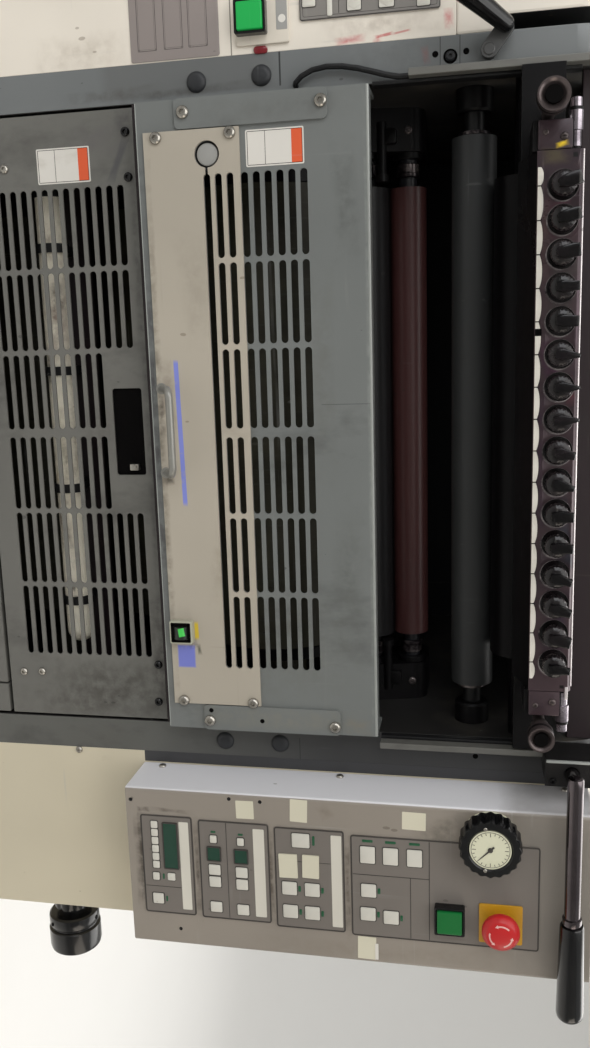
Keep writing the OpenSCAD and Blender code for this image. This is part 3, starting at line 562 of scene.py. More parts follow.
FINISHES = {
    "frame": Finish(
        "frame_enamel", srgb(106, 109, 109), 0.45, dirt=0.44, scratch=0.14, coat=0.1, stains_and_light=FRAME_STAINS,
        zones=(OILY_WALL_AND_SHADE,),
    ),
    # The right frame in painted shade: darker all over than the left frame, and darker still from about 1.02 m up.
    "frame_in_painted_shade": Finish(
        "frame_enamel_in_painted_shade", srgb(86, 86, 82), 0.42, dirt=0.46, scratch=0.2, coat=0.1, stains_and_light=FRAME_STAINS,
        zones=(Zone(srgb(50, 50, 50), z=(1.02, 9), fade=0.22), OILY_WALL_AND_SHADE),
    ),
    "cover": Finish(
        "grey_enamel", srgb(100, 99, 94), 0.42, dirt=0.5, scratch=0.2, coat=0.1, stains_and_light=COVER_STAINS_AND_SHADOW,
        scratch_color=srgb(120, 118, 110),
    ),
    "guard": Finish(
        "guard_enamel", srgb(109, 112, 110), 0.4, dirt=0.46, scratch=0.14, coat=0.12, stains_and_light=GUARD_STAINS_SHADE_AND_HIGHLIGHT,
        scratch_color=srgb(132, 134, 130),
    ),
    "cream": Finish(
        "cream_enamel", srgb(170, 162, 148), 0.42, dirt_color=srgb(104, 92, 74), dirt=0.36, scratch=0.25,
        coat=0.1, scratch_color=srgb(120, 112, 98), stains_and_light=BAND_STAINS_AND_SHADOWS,
    ),
    "beige": Finish(
        "beige_enamel", srgb(200, 191, 168), 0.45, dirt_color=srgb(120, 105, 80), dirt=0.28, coat=0.1,
        # The near-black zone inward of 390 mm, from 1010 mm up, is painted shade in the gap beside the frame.
        zones=(Zone((0.035, 0.035, 0.037), x=(-9, 0.390), z=(1.010, 9)),),
    ),
    "pale_left": Finish(
        "pale_enamel", srgb(222, 214, 201), 0.45, dirt_color=srgb(124, 108, 90), dirt=0.26, coat=0.1,
        # The near-black zone at the covers' inner edge, from 1414 mm up, is painted shade in the slot beside the
        # frame.
        stains_and_light=LEFT_STAINS, zones=(Zone((0.008, 0.008, 0.008), x=(-0.3915, 9), z=(1.4142, 9)),),
    ),
    "white": Finish("white_enamel", srgb(222, 217, 206), 0.45, dirt_color=srgb(120, 104, 84), dirt=0.4, coat=0.1),
    "box": BoxPaintWithLitSides(
        "box_enamel", srgb(141, 133, 123), 0.42, dirt_color=srgb(84, 74, 62), scratch=0.2, coat=0.1,
        # The bright sides are painted light.
        lit_side_color=srgb(226, 225, 228), stains_and_light=BOX_STAINS_AND_SHADE,
    ),
    "iron": Finish(
        "oily_iron", srgb(24, 23, 23), 0.42, 0.2, dirt=0.5, specks=0.3, scratch_color=srgb(90, 88, 84),
        specular=0.3,
    ),
    "soot": Finish(
        "ink_black_iron", srgb(10, 9, 10), 0.4, dirt=0.5, dirt_color=srgb(20, 16, 18), specks=0.2,
        specular=0.16, scratch=0.12, scratch_color=srgb(80, 76, 90),
    ),
    "bulkhead": Finish(
        "dark_bulkhead", srgb(26, 26, 30), 0.5, dirt=0.5, dirt_color=srgb(14, 13, 15), scratch=0.1,
        specular=0.3,
    ),
    "brown_plate": Finish(
        "oily_brown_plate", srgb(42, 34, 36), 0.42, dirt=0.5, scratch_color=srgb(96, 88, 80), specular=0.3,
    ),
    "ground": TickedDrum(
        "ground_steel", srgb(60, 58, 47), 0.42, 0.1, dirt=0.6, dirt_color=srgb(28, 27, 22), specular=0.25,
    ),
    "inked": Finish(
        "ink_stained_steel", srgb(70, 56, 60), 0.3, 0.35, dirt=0.62, dirt_color=INK, specks=0.6,
        scratch_color=srgb(150, 138, 146), stains_and_light=FOUNTAIN_STAINS_AND_HOLE_SHADE,
        # Near black below 1446 mm, under the scale: painted shade on the block's lower face.
        zones=(Zone(srgb(10, 8, 9), z=(-9, 1.4459)),),
    ),
    "plated": Finish("plated_steel", srgb(164, 160, 152), 0.28, 0.9, dirt=0.46, dirt_color=srgb(60, 54, 46)),
    "stained_steel": Finish(
        "stained_steel", srgb(88, 79, 78), 0.32, 0.7, dirt=0.55, dirt_color=srgb(34, 29, 29), scratch=0.4,
    ),
    # Its dark base colour paints in the dark surroundings that the chrome reflects: a painted reflection. The dirt on
    # it is real.
    "chrome": Finish(
        "chrome_with_painted_dark_reflection", srgb(92, 86, 88), 0.13, 1.0, dirt=0.5, dirt_color=srgb(40, 34, 36), dirt_scale=0.7,
        scratch=0.25, scratch_color=srgb(190, 186, 190),
    ),
    "dull_steel": Finish("dull_steel", srgb(140, 139, 133), 0.4, 0.4, dirt=0.5, dirt_color=srgb(70, 68, 62)),
    "wet_chrome": Finish(
        "ink_wet_chrome", srgb(168, 160, 168), 0.2, 0.9, dirt=0.7, dirt_color=srgb(50, 40, 50),
        dirt_scale=2.5,
    ),
    # Pale steel that stands for painted highlights: the fountain's top edge and a short strip at its right end.
    "fountain_highlight_edge": Finish(
        "painted_highlight_fountain_edge", srgb(222, 214, 214), 0.26, 0.6, dirt=0.5, dirt_color=srgb(84, 70, 76),
    ),
    "wet_rim": Finish(
        "ink_wet_rim", srgb(150, 140, 138), 0.2, 0.7, dirt=0.95, dirt_color=srgb(28, 22, 26), dirt_scale=4.0,
        specks=0.9,
    ),
    # Pale metal with ink dirt, for painted glints: the scallops' crescent rims and the drops round the key hubs.
    "painted_glint_and_ink": Finish(
        "ink_and_painted_glint_edge", srgb(158, 150, 150), 0.2, 0.5, dirt=0.8, dirt_color=srgb(34, 27, 31), dirt_scale=5.0,
        specks=0.7,
    ),
    "ink_roller": Finish(
        "ink_covered_roller", srgb(6, 5, 6), 0.34, dirt=0.4, dirt_color=srgb(14, 9, 13), scratch=0.0,
        specular=0.08,
    ),
    # Pale edges as painted highlights: the guard's rolled edges and the lever bracket's front edge.
    "painted_highlight_edge": Finish("painted_highlight_on_edges", srgb(152, 155, 151), 0.38, 0.2, dirt=0.4, dirt_color=srgb(84, 86, 84)),
    "worn_grey": Finish("worn_grey_plastic", srgb(150, 149, 145), 0.5, dirt_color=srgb(90, 86, 80)),
    "rubber": Finish("black_rubber", srgb(20, 20, 21), 0.55, dirt_color=srgb(48, 46, 44), specks=0.1, specular=0.3),
    "plug": Finish(
        "plug_rubber", srgb(45, 46, 48), 0.5, dirt=0.35, dirt_color=srgb(28, 28, 30), specks=0.3,
        specular=0.3,
    ),
    "grey_roller": Finish(
        "grey_roller", srgb(43, 44, 44), 0.45, dirt=0.4, specular=0.3, scratch=0.1,
        zones=(Zone(srgb(12, 12, 13), out=(0.2918, 9)),),
    ),
    "red_roller": Finish(
        "red_roller", srgb(64, 37, 36), 0.34, dirt=0.5, specular=0.35, scratch=0.1,
        zones=(Zone(srgb(30, 30, 34), out=(0.2568, 9)),),
    ),
    "dark_roller": Finish(
        "dark_roller", srgb(22, 21, 22), 0.4, dirt=0.35, specular=0.25, scratch=0.1,
        zones=(Zone(srgb(20, 20, 22), out=(0.2568, 9)),),
    ),
    "black": Finish("black_plastic", srgb(15, 15, 16), 0.36, dirt_color=srgb(44, 42, 38), scratch=0.15, specular=0.3),
    "gloss_black": Finish(
        "glossy_black_plastic", srgb(10, 10, 11), 0.2, dirt_color=srgb(36, 33, 32), scratch=0.15,
        coat=0.15, scratch_color=srgb(80, 80, 80), specular=0.35,
    ),
    "inky_black": Finish(
        "inky_black_plastic", srgb(12, 11, 11), 0.16, dirt=0.8, dirt_color=srgb(30, 24, 26), dirt_scale=6.0,
        specks=0.7, scratch_color=srgb(120, 118, 112), specular=0.36,
    ),
    "wing_black": Finish(
        "wet_wing_black", srgb(8, 7, 8), 0.18, dirt=0.6, dirt_color=srgb(26, 18, 22), dirt_scale=6.0,
        scratch=0.2, scratch_color=srgb(140, 138, 134), specular=0.3,
    ),
    # Near black, for black parts and for painted shade in holes, bores, screw slots and gaps.
    "black_paint_and_shade": Finish(
        "deep_black_and_painted_shade", srgb(8, 7, 7), 0.8, dirt=0.2, dirt_color=srgb(20, 18, 17), scratch=0.0,
        specular=0.05,
    ),
    "membrane": Finish("membrane_film", srgb(114, 108, 102), 0.5, specks=0.3, scratch=0.12, specular=0.35),
    "left_plates": Finish(
        "left_plates", srgb(122, 118, 113), 0.5, dirt=0.24, specks=0.25, scratch=0.12,
        zones=(
            Zone(srgb(206, 198, 184), z=(-9, 1.215), dirt=0.35), Zone(srgb(140, 131, 127), z=(-9, 1.15), dirt=0.35),
        ),
    ),
    "pale_strip": Finish(
        "pale_print", srgb(206, 202, 190), 0.5, dirt=0.18, dirt_color=srgb(128, 120, 106), scratch=0.06,
    ),
    "print_dark": Finish(
        "dark_print", srgb(50, 46, 43), 0.5, dirt=0.2, dirt_color=srgb(86, 78, 70), specks=0.1, scratch=0.1,
    ),
    "key": Finish(
        "key_film", srgb(202, 199, 189), 0.45, dirt=0.34, dirt_color=srgb(132, 122, 106), dirt_scale=3.0,
        scratch=0.05,
    ),
    "display": Finish(
        "display_window", srgb(14, 58, 42), 0.25, dirt=0.25, dirt_color=srgb(30, 74, 56), coat=0.3,
        scratch=0.1,
    ),
    "unlit_green": Finish(
        "unlit_green_lamp", srgb(22, 82, 52), 0.35, dirt=0.2, dirt_color=srgb(16, 46, 32), scratch=0.0,
    ),
    "lamp_red": Finish("red_lamp", srgb(112, 16, 26), 0.25, dirt_color=srgb(50, 12, 14), coat=0.2, scratch=0.0),
    "pipe": Finish(
        "dirty_cream", srgb(240, 233, 214), 0.4, dirt=0.48, dirt_color=srgb(120, 92, 74), dirt_scale=2.0,
        runs=1.0, stains_and_light=PIPE_STAINS_AND_HIGHLIGHTS,
    ),
    "paper": Finish("blank_paper", srgb(214, 210, 202), 0.6, dirt=0.46, dirt_color=srgb(140, 128, 108), scratch=0.1),
    "tape": Finish("pale_tape", srgb(208, 203, 182), 0.35, dirt_color=srgb(150, 134, 104), scratch=0.1),
    "orange": Finish("orange_print", srgb(216, 88, 46), 0.5, dirt_color=srgb(120, 60, 36), scratch=0.2),
    "red": Finish(
        "red_plastic", srgb(182, 34, 36), 0.34, dirt=0.26, dirt_color=srgb(104, 26, 26), scratch=0.12,
        specular=0.35,
    ),
    "arrow_white": Finish(
        "white_print", srgb(226, 190, 184), 0.4, dirt=0.5, dirt_color=srgb(196, 80, 76), scratch=0.1,
    ),
    "yellow": Finish("yellow_plastic", srgb(186, 138, 24), 0.45, dirt=0.4, dirt_color=srgb(110, 76, 18)),
    "green": Finish("green_plastic", srgb(8, 100, 44), 0.35, dirt_color=srgb(8, 50, 30), specular=0.35),
    "lit_green": Finish(
        "lit_green_plastic", srgb(24, 152, 70), 0.4, dirt=0.4, dirt_color=srgb(14, 92, 44), glow=0.16,
        specular=0.3, stains_and_light=(StainAndLight((-376, 1169), (15, 1.4), srgb(10, 70, 34), 0.8, 0, 0.6, 0.1, 0.3),),
    ),
    "switch": Finish(
        "dark_switch", srgb(18, 28, 20), 0.4, dirt=0.25, dirt_color=srgb(40, 44, 36),
        stains_and_light=(StainAndLight((217.5, 1077), (5, 3.4), srgb(70, 200, 84), 0.95, 8, 0.2, 0.0, 0.1),),
    ),
    "bezel": Finish("switch_bezel", srgb(168, 168, 150), 0.45, dirt=0.45, dirt_color=srgb(96, 92, 66)),
    "dial": Finish("dial_plate", srgb(206, 205, 180), 0.45, dirt=0.42, dirt_color=srgb(150, 148, 84), dirt_scale=2.0),
    "left_lever": Finish("dark_lever", srgb(70, 70, 69), 0.45, 0.3, dirt=0.4),
}

# The CAD nodes that wear each finish.
WORN_BY = {
    "iron": "anchor_plates cover_ledges lever_bracket",
    "frame": "bed_frame left_side_frame",
    "frame_in_painted_shade": "right_side_frame",
    "brown_plate": "tie_bars",
    "bulkhead": "inner_bulkhead",
    "cover": "base_cover lower_cover top_cover back_covers opening_rails",
    "black_paint_and_shade": "cover_latch",
    "pipe": "blower_pipe",
    "rubber": "pipe_clips sensor_cable",
    "ground": "plate_cylinder blanket_cylinder impression_cylinder",
    "ink_roller": "fountain_roller",
    "grey_roller": "upper_roller",
    "red_roller": "red_roller",
    "dark_roller": "form_roller",
    "soot": "roller_brackets fountain_cheeks",
    "inked": "fountain_block",
    "white": "fountain_scale",
    "inky_black": "ink_keys",
    "stained_steel": "left_fountain_knob right_fountain_knob",
    "guard": "guard_cover",
    "cream": "guard_band",
    "dull_steel": "guard_handle",
    "bezel": "switch_bezel",
    "switch": "switch_rocker",
    "beige": "right_side_cover",
    "box": "control_box",
    "membrane": "membranes",
    "key": "panel_keys",
    "black": "dial_wheel hand_knob",
    "dial": "dial_face",
    "yellow": "stop_plate",
    "red": "stop_button",
    "gloss_black": "run_bezels lever_grip left_lever_grip",
    "green": "right_run_button",
    "lit_green": "left_run_button",
    "chrome": "lever_arm",
    "pale_left": "left_side_cover left_upper_cover",
    "left_plates": "left_panel",
    "left_lever": "left_lever",
}
NODE_FINISH = {node: finish for finish, nodes in WORN_BY.items() for node in nodes.split()}

# The CAD nodes whose edges are rounded, by the width in millimetres.
SOFT_BY = {
    0.3: "panel_keys",
    0.5: "guard_band left_panel cover_latch",
    0.6: "fountain_block back_covers",
    0.7: "lower_cover guard_cover stop_plate",
    0.8: "opening_rails top_cover tie_bars",
    1.0: "fountain_cheeks lever_bracket run_bezels switch_bezel left_lever",
    1.2: "base_cover right_run_button left_run_button",
    1.5: "left_side_frame right_side_frame",
    2.2: "control_box",
    2.5: "right_side_cover left_side_cover left_upper_cover",
}
SOFT_EDGES = {node: width for width, nodes in SOFT_BY.items() for node in nodes.split()}


@dataclass
class Studio:
    """The camera at the photograph's viewing angle, the lamps, the floor and the backdrop."""

    eye: Point = (-0.0895, -1.438, 1.4001)
    yaw: float = -0.192
    pitch: float = 0.196
    roll: float = -0.007
    focal_pixels: float = 940.54
    long_side_pixels: float = 1048.0
    sensor: float = 36.0
    floor_reach: float = 5.0
    floor_bend: float = 2.0
    floor_rise: float = 6.0
    floor_sides: int = 96

    def place_camera(self) -> None:
        """Makes the camera. The photograph is turned, so the picture's right is the scene's up."""
        turn = Matrix.Rotation(self.yaw, 3, "Z")
        forward = turn @ Vector((0, math.cos(self.pitch), -math.sin(self.pitch)))
        down = turn @ Vector((0, -math.sin(self.pitch), -math.cos(self.pitch)))
        right = turn @ Vector((1, 0, 0))
        level_right = math.cos(self.roll) * right + math.sin(self.roll) * down
        level_down = -math.sin(self.roll) * right + math.cos(self.roll) * down
        axes = Matrix((-level_down, -level_right, -forward)).transposed()
        data = bpy.data.cameras.new("press_camera")
        data.sensor_width = self.sensor
        data.lens = self.sensor * self.focal_pixels / self.long_side_pixels
        data.clip_start = 0.01
        bpy.context.scene.camera = self.put("press_camera", data)
        bpy.context.scene.camera.matrix_world = Matrix.Translation(self.eye) @ axes.to_4x4()

    def put(self, name: str, data: object) -> bpy.types.Object:
        """Returns a new object in the scene that shows the data."""
        made = bpy.data.objects.new(name, data)
        bpy.context.scene.collection.objects.link(made)
        return made

    def light(self) -> None:
        """Sets a soft even world and broad lamps overhead and in front."""
        world = bpy.data.worlds.new("studio_world")
        world.use_nodes = True
        world.node_tree.nodes.clear()
        bpy.context.scene.world = world
        pen = NodePen(world.node_tree)
        rays = pen.add("LightPath").outputs
        seen = pen.math("MAXIMUM", rays["Is Camera Ray"], rays["Is Glossy Ray"])
        seen = pen.math("MAXIMUM", seen, rays["Is Transmission Ray"])
        soft = pen.add("Background", {"Color": (0.95, 0.97, 1.0), "Strength": 0.3}).outputs[0]
        shown = pen.add("Background", {"Color": (0.86, 0.86, 0.84), "Strength": 0.6}).outputs[0]
        mixed = pen.add("MixShader", {0: seen, 1: soft, 2: shown}).outputs[0]
        pen.add("OutputWorld", {"Surface": mixed})
        for name, where, at, size, watts, tone in (
            ("overhead_lamp", (-0.4, -1.3, 3.0), (0, 0.1, 1.2), 2.2, 36.0, (1.0, 0.99, 0.97)),
            ("front_lamp", (-2.1, -2.4, 1.9), (0, -0.4, 1.1), 1.6, 30.0, (0.95, 0.97, 1.0)),
            ("side_lamp", (2.6, -1.6, 1.9), (0.4, -0.2, 1.0), 1.4, 15.0, (1.0, 0.9, 0.78)),
            ("floor_lamp", (1.8, 1.4, 3.2), (1.8, 1.4, 0.0), 3.2, 95.0, (1.0, 0.98, 0.95)),
        ):
            data = bpy.data.lights.new(name, "AREA")
            data.size, data.energy, data.color = size, watts, tone
            aim = (Vector(at) - Vector(where)).to_track_quat("-Z", "Y").to_matrix().to_4x4()
            self.put(name, data).matrix_world = Matrix.Translation(where) @ aim

    def lay_floor(self) -> None:
        """Lays a plain pale floor that curves up into a backdrop all round."""
        pale = Finish(
            "studio_floor", srgb(238, 237, 234), 0.85, dirt=0.0, specks=0.0, mottle=0.004, scratch=0.0, bump=0.0,
            specular=0.1,
        )
        flat, bend, sides = self.floor_reach, self.floor_bend, self.floor_sides
        curve = [math.pi / 24 * step for step in range(1, 13)]
        run = [(0.01, 0.0), (flat, 0.0)]
        run += [(flat + bend * math.sin(a), bend - bend * math.cos(a)) for a in curve]
        run.append((flat + bend, self.floor_rise))
        build = bmesh.new()
        spokes = [2 * math.pi * k / sides for k in range(sides)]
        rings = [[build.verts.new((r * math.cos(a), r * math.sin(a), z)) for a in spokes] for r, z in run]
        build.faces.new(rings[0])
        for low, high in zip(rings, rings[1:]):
            for k in range(sides):
                after = (k + 1) % sides
                build.faces.new((low[k], low[after], high[after], high[k])).smooth = True
        mesh = bpy.data.meshes.new("studio_floor")
        build.to_mesh(mesh)
        build.free()
        mesh.materials.append(pale.build())
        floor = self.put("studio_floor", mesh)


def rounded(left: float, low: float, right: float, high: float, radius: float = 2.0, steps: int = 4) -> list[Flat]:
    """Draws a rectangle with round corners, anticlockwise as seen from the front.

    Args:
        left: Lowest X.
        low: Lowest Z.
        right: Highest X.
        high: Highest Z.
        radius: Corner radius.
        steps: Segments in each corner.

    Returns:
        The outline's points in X and Z.
    """
    corners = ((right - radius, high - radius), (left + radius, high - radius),
               (left + radius, low + radius), (right - radius, low + radius))
    outline = []
    for quarter, (x, z) in enumerate(corners):
        for step in range(steps + 1):
            angle = math.pi / 2 * (quarter + step / steps)
            outline.append((x + radius * math.cos(angle), z + radius * math.sin(angle)))
    return outline


def around(x: float, z: float, width: float, height: float, radius: float = 1.5) -> list[Flat]:
    """Returns a round-cornered rectangle about a centre."""
    return rounded(x - width / 2, z - height / 2, x + width / 2, z + height / 2, radius)


def inset(outline: list[Flat], amount: float) -> list[Flat]:
    """Draws an outline again, moved inwards.

    Args:
        outline: Points in X and Z, anticlockwise.
        amount: How far to move it in.

    Returns:
        The moved outline, point for point.
    """
    moved = []
    for number, here in enumerate(outline):
        before, after = Vector(outline[number - 1]), Vector(outline[(number + 1) % len(outline)])
        first, second = (Vector(here) - before).normalized(), (after - Vector(here)).normalized()
        normal = Vector((-(first.y + second.y), first.x + second.x)).normalized()
        reach = amount / max(0.3, normal.dot(Vector((-first.y, first.x))))
        moved.append((here[0] + normal.x * reach, here[1] + normal.y * reach))
    return moved


def bent_wire(left: float, right: float, foot: float, top: float, bend: float, steps: int = 7) -> list[Flat]:
    """Draws a pull handle's wire: up from one foot, over two bends and down to the other.

    Args:
        left: Where one foot stands.
        right: Where the other stands.
        foot: Height of the feet.
        top: Height of the grip.
        bend: Radius of the bends.
        steps: Segments in each bend.

    Returns:
        The points, each as its place along and its height.
    """
    angles = [math.pi / 2 * step / steps for step in range(1, steps)]
    rise = [(left + bend - bend * math.cos(a), top - bend + bend * math.sin(a)) for a in angles]
    fall = [(right - bend + bend * math.sin(a), top - bend + bend * math.cos(a)) for a in angles]
    return [(left, foot), (left, top - bend), *rise, (left + bend, top), (right - bend, top), *fall,
            (right, top - bend), (right, foot)]


@dataclass
class Mold:
    """Gathers the faces of one piece in millimetres, each with a finish."""

    finishes: list[str] = field(default_factory=list)
    build: bmesh.types.BMesh = field(default_factory=bmesh.new)
    place: Matrix = field(default_factory=lambda: Matrix.Identity(4))
    tint: int = 0

    def wear(self, finish: str) -> "Mold":
        """Sets the finish of the faces that follow.

        Args:
            finish: A key of FINISHES.

        Returns:
            The mold.
        """
        if finish not in self.finishes:
            self.finishes.append(finish)
        self.tint = self.finishes.index(finish)
        return self

    def turn(self, x: float = 0.0, z: float = 0.0, degrees: float = 0.0) -> "Mold":
        """Draws what follows about a point of the front, turned; without values, straight again.

        Args:
            x: The point's X.
            z: The point's Z.
            degrees: Turn to the right.

        Returns:
            The mold.
        """
        self.place = Matrix.Translation((x, 0, z)) @ Matrix.Rotation(math.radians(degrees), 4, "Y")
        return self

    def face(self, corners: list[bmesh.types.BMVert]) -> None:
        """Adds one face with the present finish."""
        made = self.build.faces.new(corners)
        made.material_index, made.smooth = self.tint, True

    def loft(self, rings: list[list[Point]], closed: bool = False) -> None:
        """Skins a row of rings.

        Args:
            rings: Rings of equally many points, in millimetres.
            closed: Joins the last ring to the first, in place of caps on both.
        """
        made = [[self.build.verts.new((self.place @ Vector(point)) * MM) for point in ring] for ring in rings]
        for first, second in zip(made, made[1:] + made[:1] if closed else made[1:]):
            for number in range(len(first)):
                after = (number + 1) % len(first)
                self.face([first[number], first[after], second[after], second[number]])
        if not closed:
            self.face(made[0][::-1])
            self.face(made[-1])

    def slab(self, outline: list[Flat], front: float, thick: float, soft: float = 0.0) -> None:
        """Adds an upright plate.

        Args:
            outline: Points in X and Z.
            front: Y of its face.
            thick: Depth towards the back.
            soft: Width of the rounded front edge.
        """
        rings = [(outline, front + thick), (outline, front + soft)]
        if soft:
            rings += [(inset(outline, soft * 0.3), front + soft * 0.3), (inset(outline, soft), front)]
        self.loft([[(x, y, z) for x, z in flat] for flat, y in rings])

    def line(self, box: Box, front: float, thick: float = 0.3) -> None:
        """Adds a thin printed line."""
        self.slab(rounded(*box, 0.1, 1), front, thick)

    def rim(self, outline: list[Flat], width: float, front: float, thick: float = 0.3) -> None:
        """Adds an upright frame of even width.

        Args:
            outline: Its outer edge, as points in X and Z.
            width: From its outer to its inner edge.
            front: Y of its face.
            thick: Depth towards the back.
        """
        inner = inset(outline, width)
        rings = [(outline, front + thick), (outline, front), (inner, front), (inner, front + thick)]
        self.loft([[(x, y, z) for x, z in flat] for flat, y in rings], closed=True)

    def lathe(self, at: Point, axis: Axis, profile: list[Flat], sides: int = 24, shape: Shape | None = None,
              closed: bool = False) -> None:
        """Adds a turned piece.

        Args:
            at: The start of its axis.
            axis: The way it points.
            profile: Radius and distance along the axis, from end to end.
            sides: Points round it.
            shape: A function of the angle and the profile's place that scales the radius.
            closed: Joins the profile's end to its start, as a ring.
        """
        along = Vector(axis.value)
        side = Vector((0, 0, 1)) if axis is not Axis.UP else Vector((1, 0, 0))
        across = along.cross(side)
        rings = []
        for place, (radius, reach) in enumerate(profile):
            ring = []
            for angle in (2 * math.pi * number / sides for number in range(sides)):
                span = max(radius, 0.02) * (shape(angle, place) if shape else 1.0)
                way = math.cos(angle) * side + math.sin(angle) * across
                ring.append(tuple(Vector(at) + along * reach + span * way))
            rings.append(ring)
        self.loft(rings, closed)

    def dots(self, places: tuple[Flat, ...], y: float, profile: list[Flat], sides: int) -> None:
        """Adds a turned piece at each X and Z of an upright face."""
        for x, z in places:
            self.lathe((x, y, z), Axis.FRONT, profile, sides)

    def tube(self, path: list[Point], radius: float, normal: Point, sides: int = 14) -> None:
        """Adds a round bar.

        Args:
            path: Points of its middle line.
            radius: Its radius.
            normal: A way that the path never takes.
            sides: Points round it.
        """
        rings = []
        for number, here in enumerate(path):
            before, after = path[max(0, number - 1)], path[min(len(path) - 1, number + 1)]
            ahead = (Vector(after) - Vector(before)).normalized()
            side = ahead.cross(Vector(normal)).normalized()
            up = ahead.cross(side)
            rings.append([tuple(Vector(here) + radius * (math.cos(a) * side + math.sin(a) * up))
                          for a in (2 * math.pi * k / sides for k in range(sides))])
        self.loft(rings)

    def screw(self, at: Point, radius: float, axis: Axis = Axis.FRONT, drive: Drive = Drive.SOCKET) -> None:
        """Adds a domed screw head.

        Args:
            at: The point of the surface below its middle.
            radius: The head's radius.
            axis: The way it looks.
            drive: Its recess.
        """
        height, hole = radius * 0.6, radius * 0.45
        crown = [(radius * 0.66, height), (radius * 0.9, height * 0.74), (radius, height * 0.35), (radius, -0.2)]
        if drive is Drive.SOCKET:
            def six(angle: float, place: int) -> float:
                """Returns the hexagon's share of the radius at the recess."""
                bend = math.cos(math.pi / 6) / math.cos(angle % (math.pi / 3) - math.pi / 6)
                return bend if place < 2 else 1.0

            self.lathe(at, axis, [(hole, height * 0.3), (hole, height * 0.98), *crown], 24, six)
            return
        self.lathe(at, axis, [(radius * 0.3, height * 1.06), *crown], 20)
        kept = self.tint
        # The slot is a black bar across the head: painted shade in the recess.
        self.wear("black_paint_and_shade")
        groove = [(radius * 0.7, height * 1.1), (radius * 0.7, height * 0.8)]
        self.lathe(at, axis, groove, 4, lambda angle, place: 1.0 if abs(math.sin(angle)) < 0.5 else 0.16)
        self.tint = kept

    def screws(self, places: list[Flat], y: float, radius: float, axis: Axis = Axis.FRONT) -> None:
        """Adds a domed screw head at each X and Z of an upright face."""
        for x, z in places:
            self.screw((x, y, z), radius, axis)

    def sticker(self, paper: Box, field_box: Box, line_z: float, face_y: float) -> None:
        """Adds a sticker: an orange field over two pale ones.

        Args:
            paper: The sheet's limits.
            field_box: Left, foot, right and top of the orange field.
            line_z: Foot of the line between the pale fields.
            face_y: Y of the cover's face.
        """
        left, _, right, top = field_box
        self.wear("paper").slab(rounded(*paper, 1.5), face_y - 0.25, 0.4)
        self.wear("orange").slab(rounded(*field_box, 0.6), face_y - 0.32, 0.3)
        self.wear("black_paint_and_shade").rim(rounded(left, paper[1] + 1.5, right, top, 0.6), 0.5, face_y - 0.35)
        self.line((left, line_z, right, line_z + 0.4), face_y - 0.35)


class Shop:
    """Holds the frame's nodes and the built materials, and places finished pieces."""

    def __init__(self, frame: dict) -> None:
        """Builds every material.
        """
        self.nodes = frame["nodes"]
        self.materials = {name: finish.build() for name, finish in FINISHES.items()}

    def modify(self, node: bpy.types.Object, name: str, kind: str, **settings: object) -> None:
        """Puts a modifier on a node.

        Args:
            node: The node.
            name: The modifier's name.
            kind: Its type.
            settings: Its settings.
        """
        made = node.modifiers.new(name, kind)
        for key, value in settings.items():
            setattr(made, key, value)

    def dress_nodes(self) -> None:
        """Gives every CAD node its finish, and softens the edges of the machined and folded ones."""
        for name, node in self.nodes.items():
            node.data.materials.clear()
            node.data.materials.append(self.materials[NODE_FINISH[name]])
            if name in SOFT_EDGES:
                self.modify(node, "weld", "WELD", merge_threshold=WELD_REACH)
                self.modify(node, "flat", "DECIMATE", decimate_type="DISSOLVE", angle_limit=FLAT_ANGLE)
                self.modify(node, "soft", "BEVEL", width=SOFT_EDGES[name] * MM, segments=2,
                            limit_method="ANGLE", angle_limit=BEVEL_ANGLE)
            LOG.info("dressed %s", name)

    def cast(self, mold: Mold, name: str, body: str = "unit", replaces: tuple[str, ...] = ()) -> None:
        """Turns a mold into an object that rides on a body.

        Args:
            mold: The faces.
            name: The piece's name.
            body: The body it moves with.
            replaces: CAD nodes that it stands for.
        """
        bmesh.ops.recalc_face_normals(mold.build, faces=mold.build.faces)
        for edge in mold.build.edges:
            edge.smooth = len(edge.link_faces) != 2 or edge.calc_face_angle(0.0) < CREASE_ANGLE
        mesh = bpy.data.meshes.new(name)
        mold.build.to_mesh(mesh)
        mold.build.free()
        for finish in mold.finishes:
            mesh.materials.append(self.materials[finish])
        piece = bpy.data.objects.new(name, mesh)
        bpy.context.scene.collection.objects.link(piece)
        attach(piece, body)
        if replaces:
            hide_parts(*replaces)
        LOG.info("cast %s: %d faces on %s", name, len(mesh.polygons), body)


@dataclass
class Assembly:
    """A sub-assembly, which builds its pieces and hands them to the shop."""

    shop: Shop


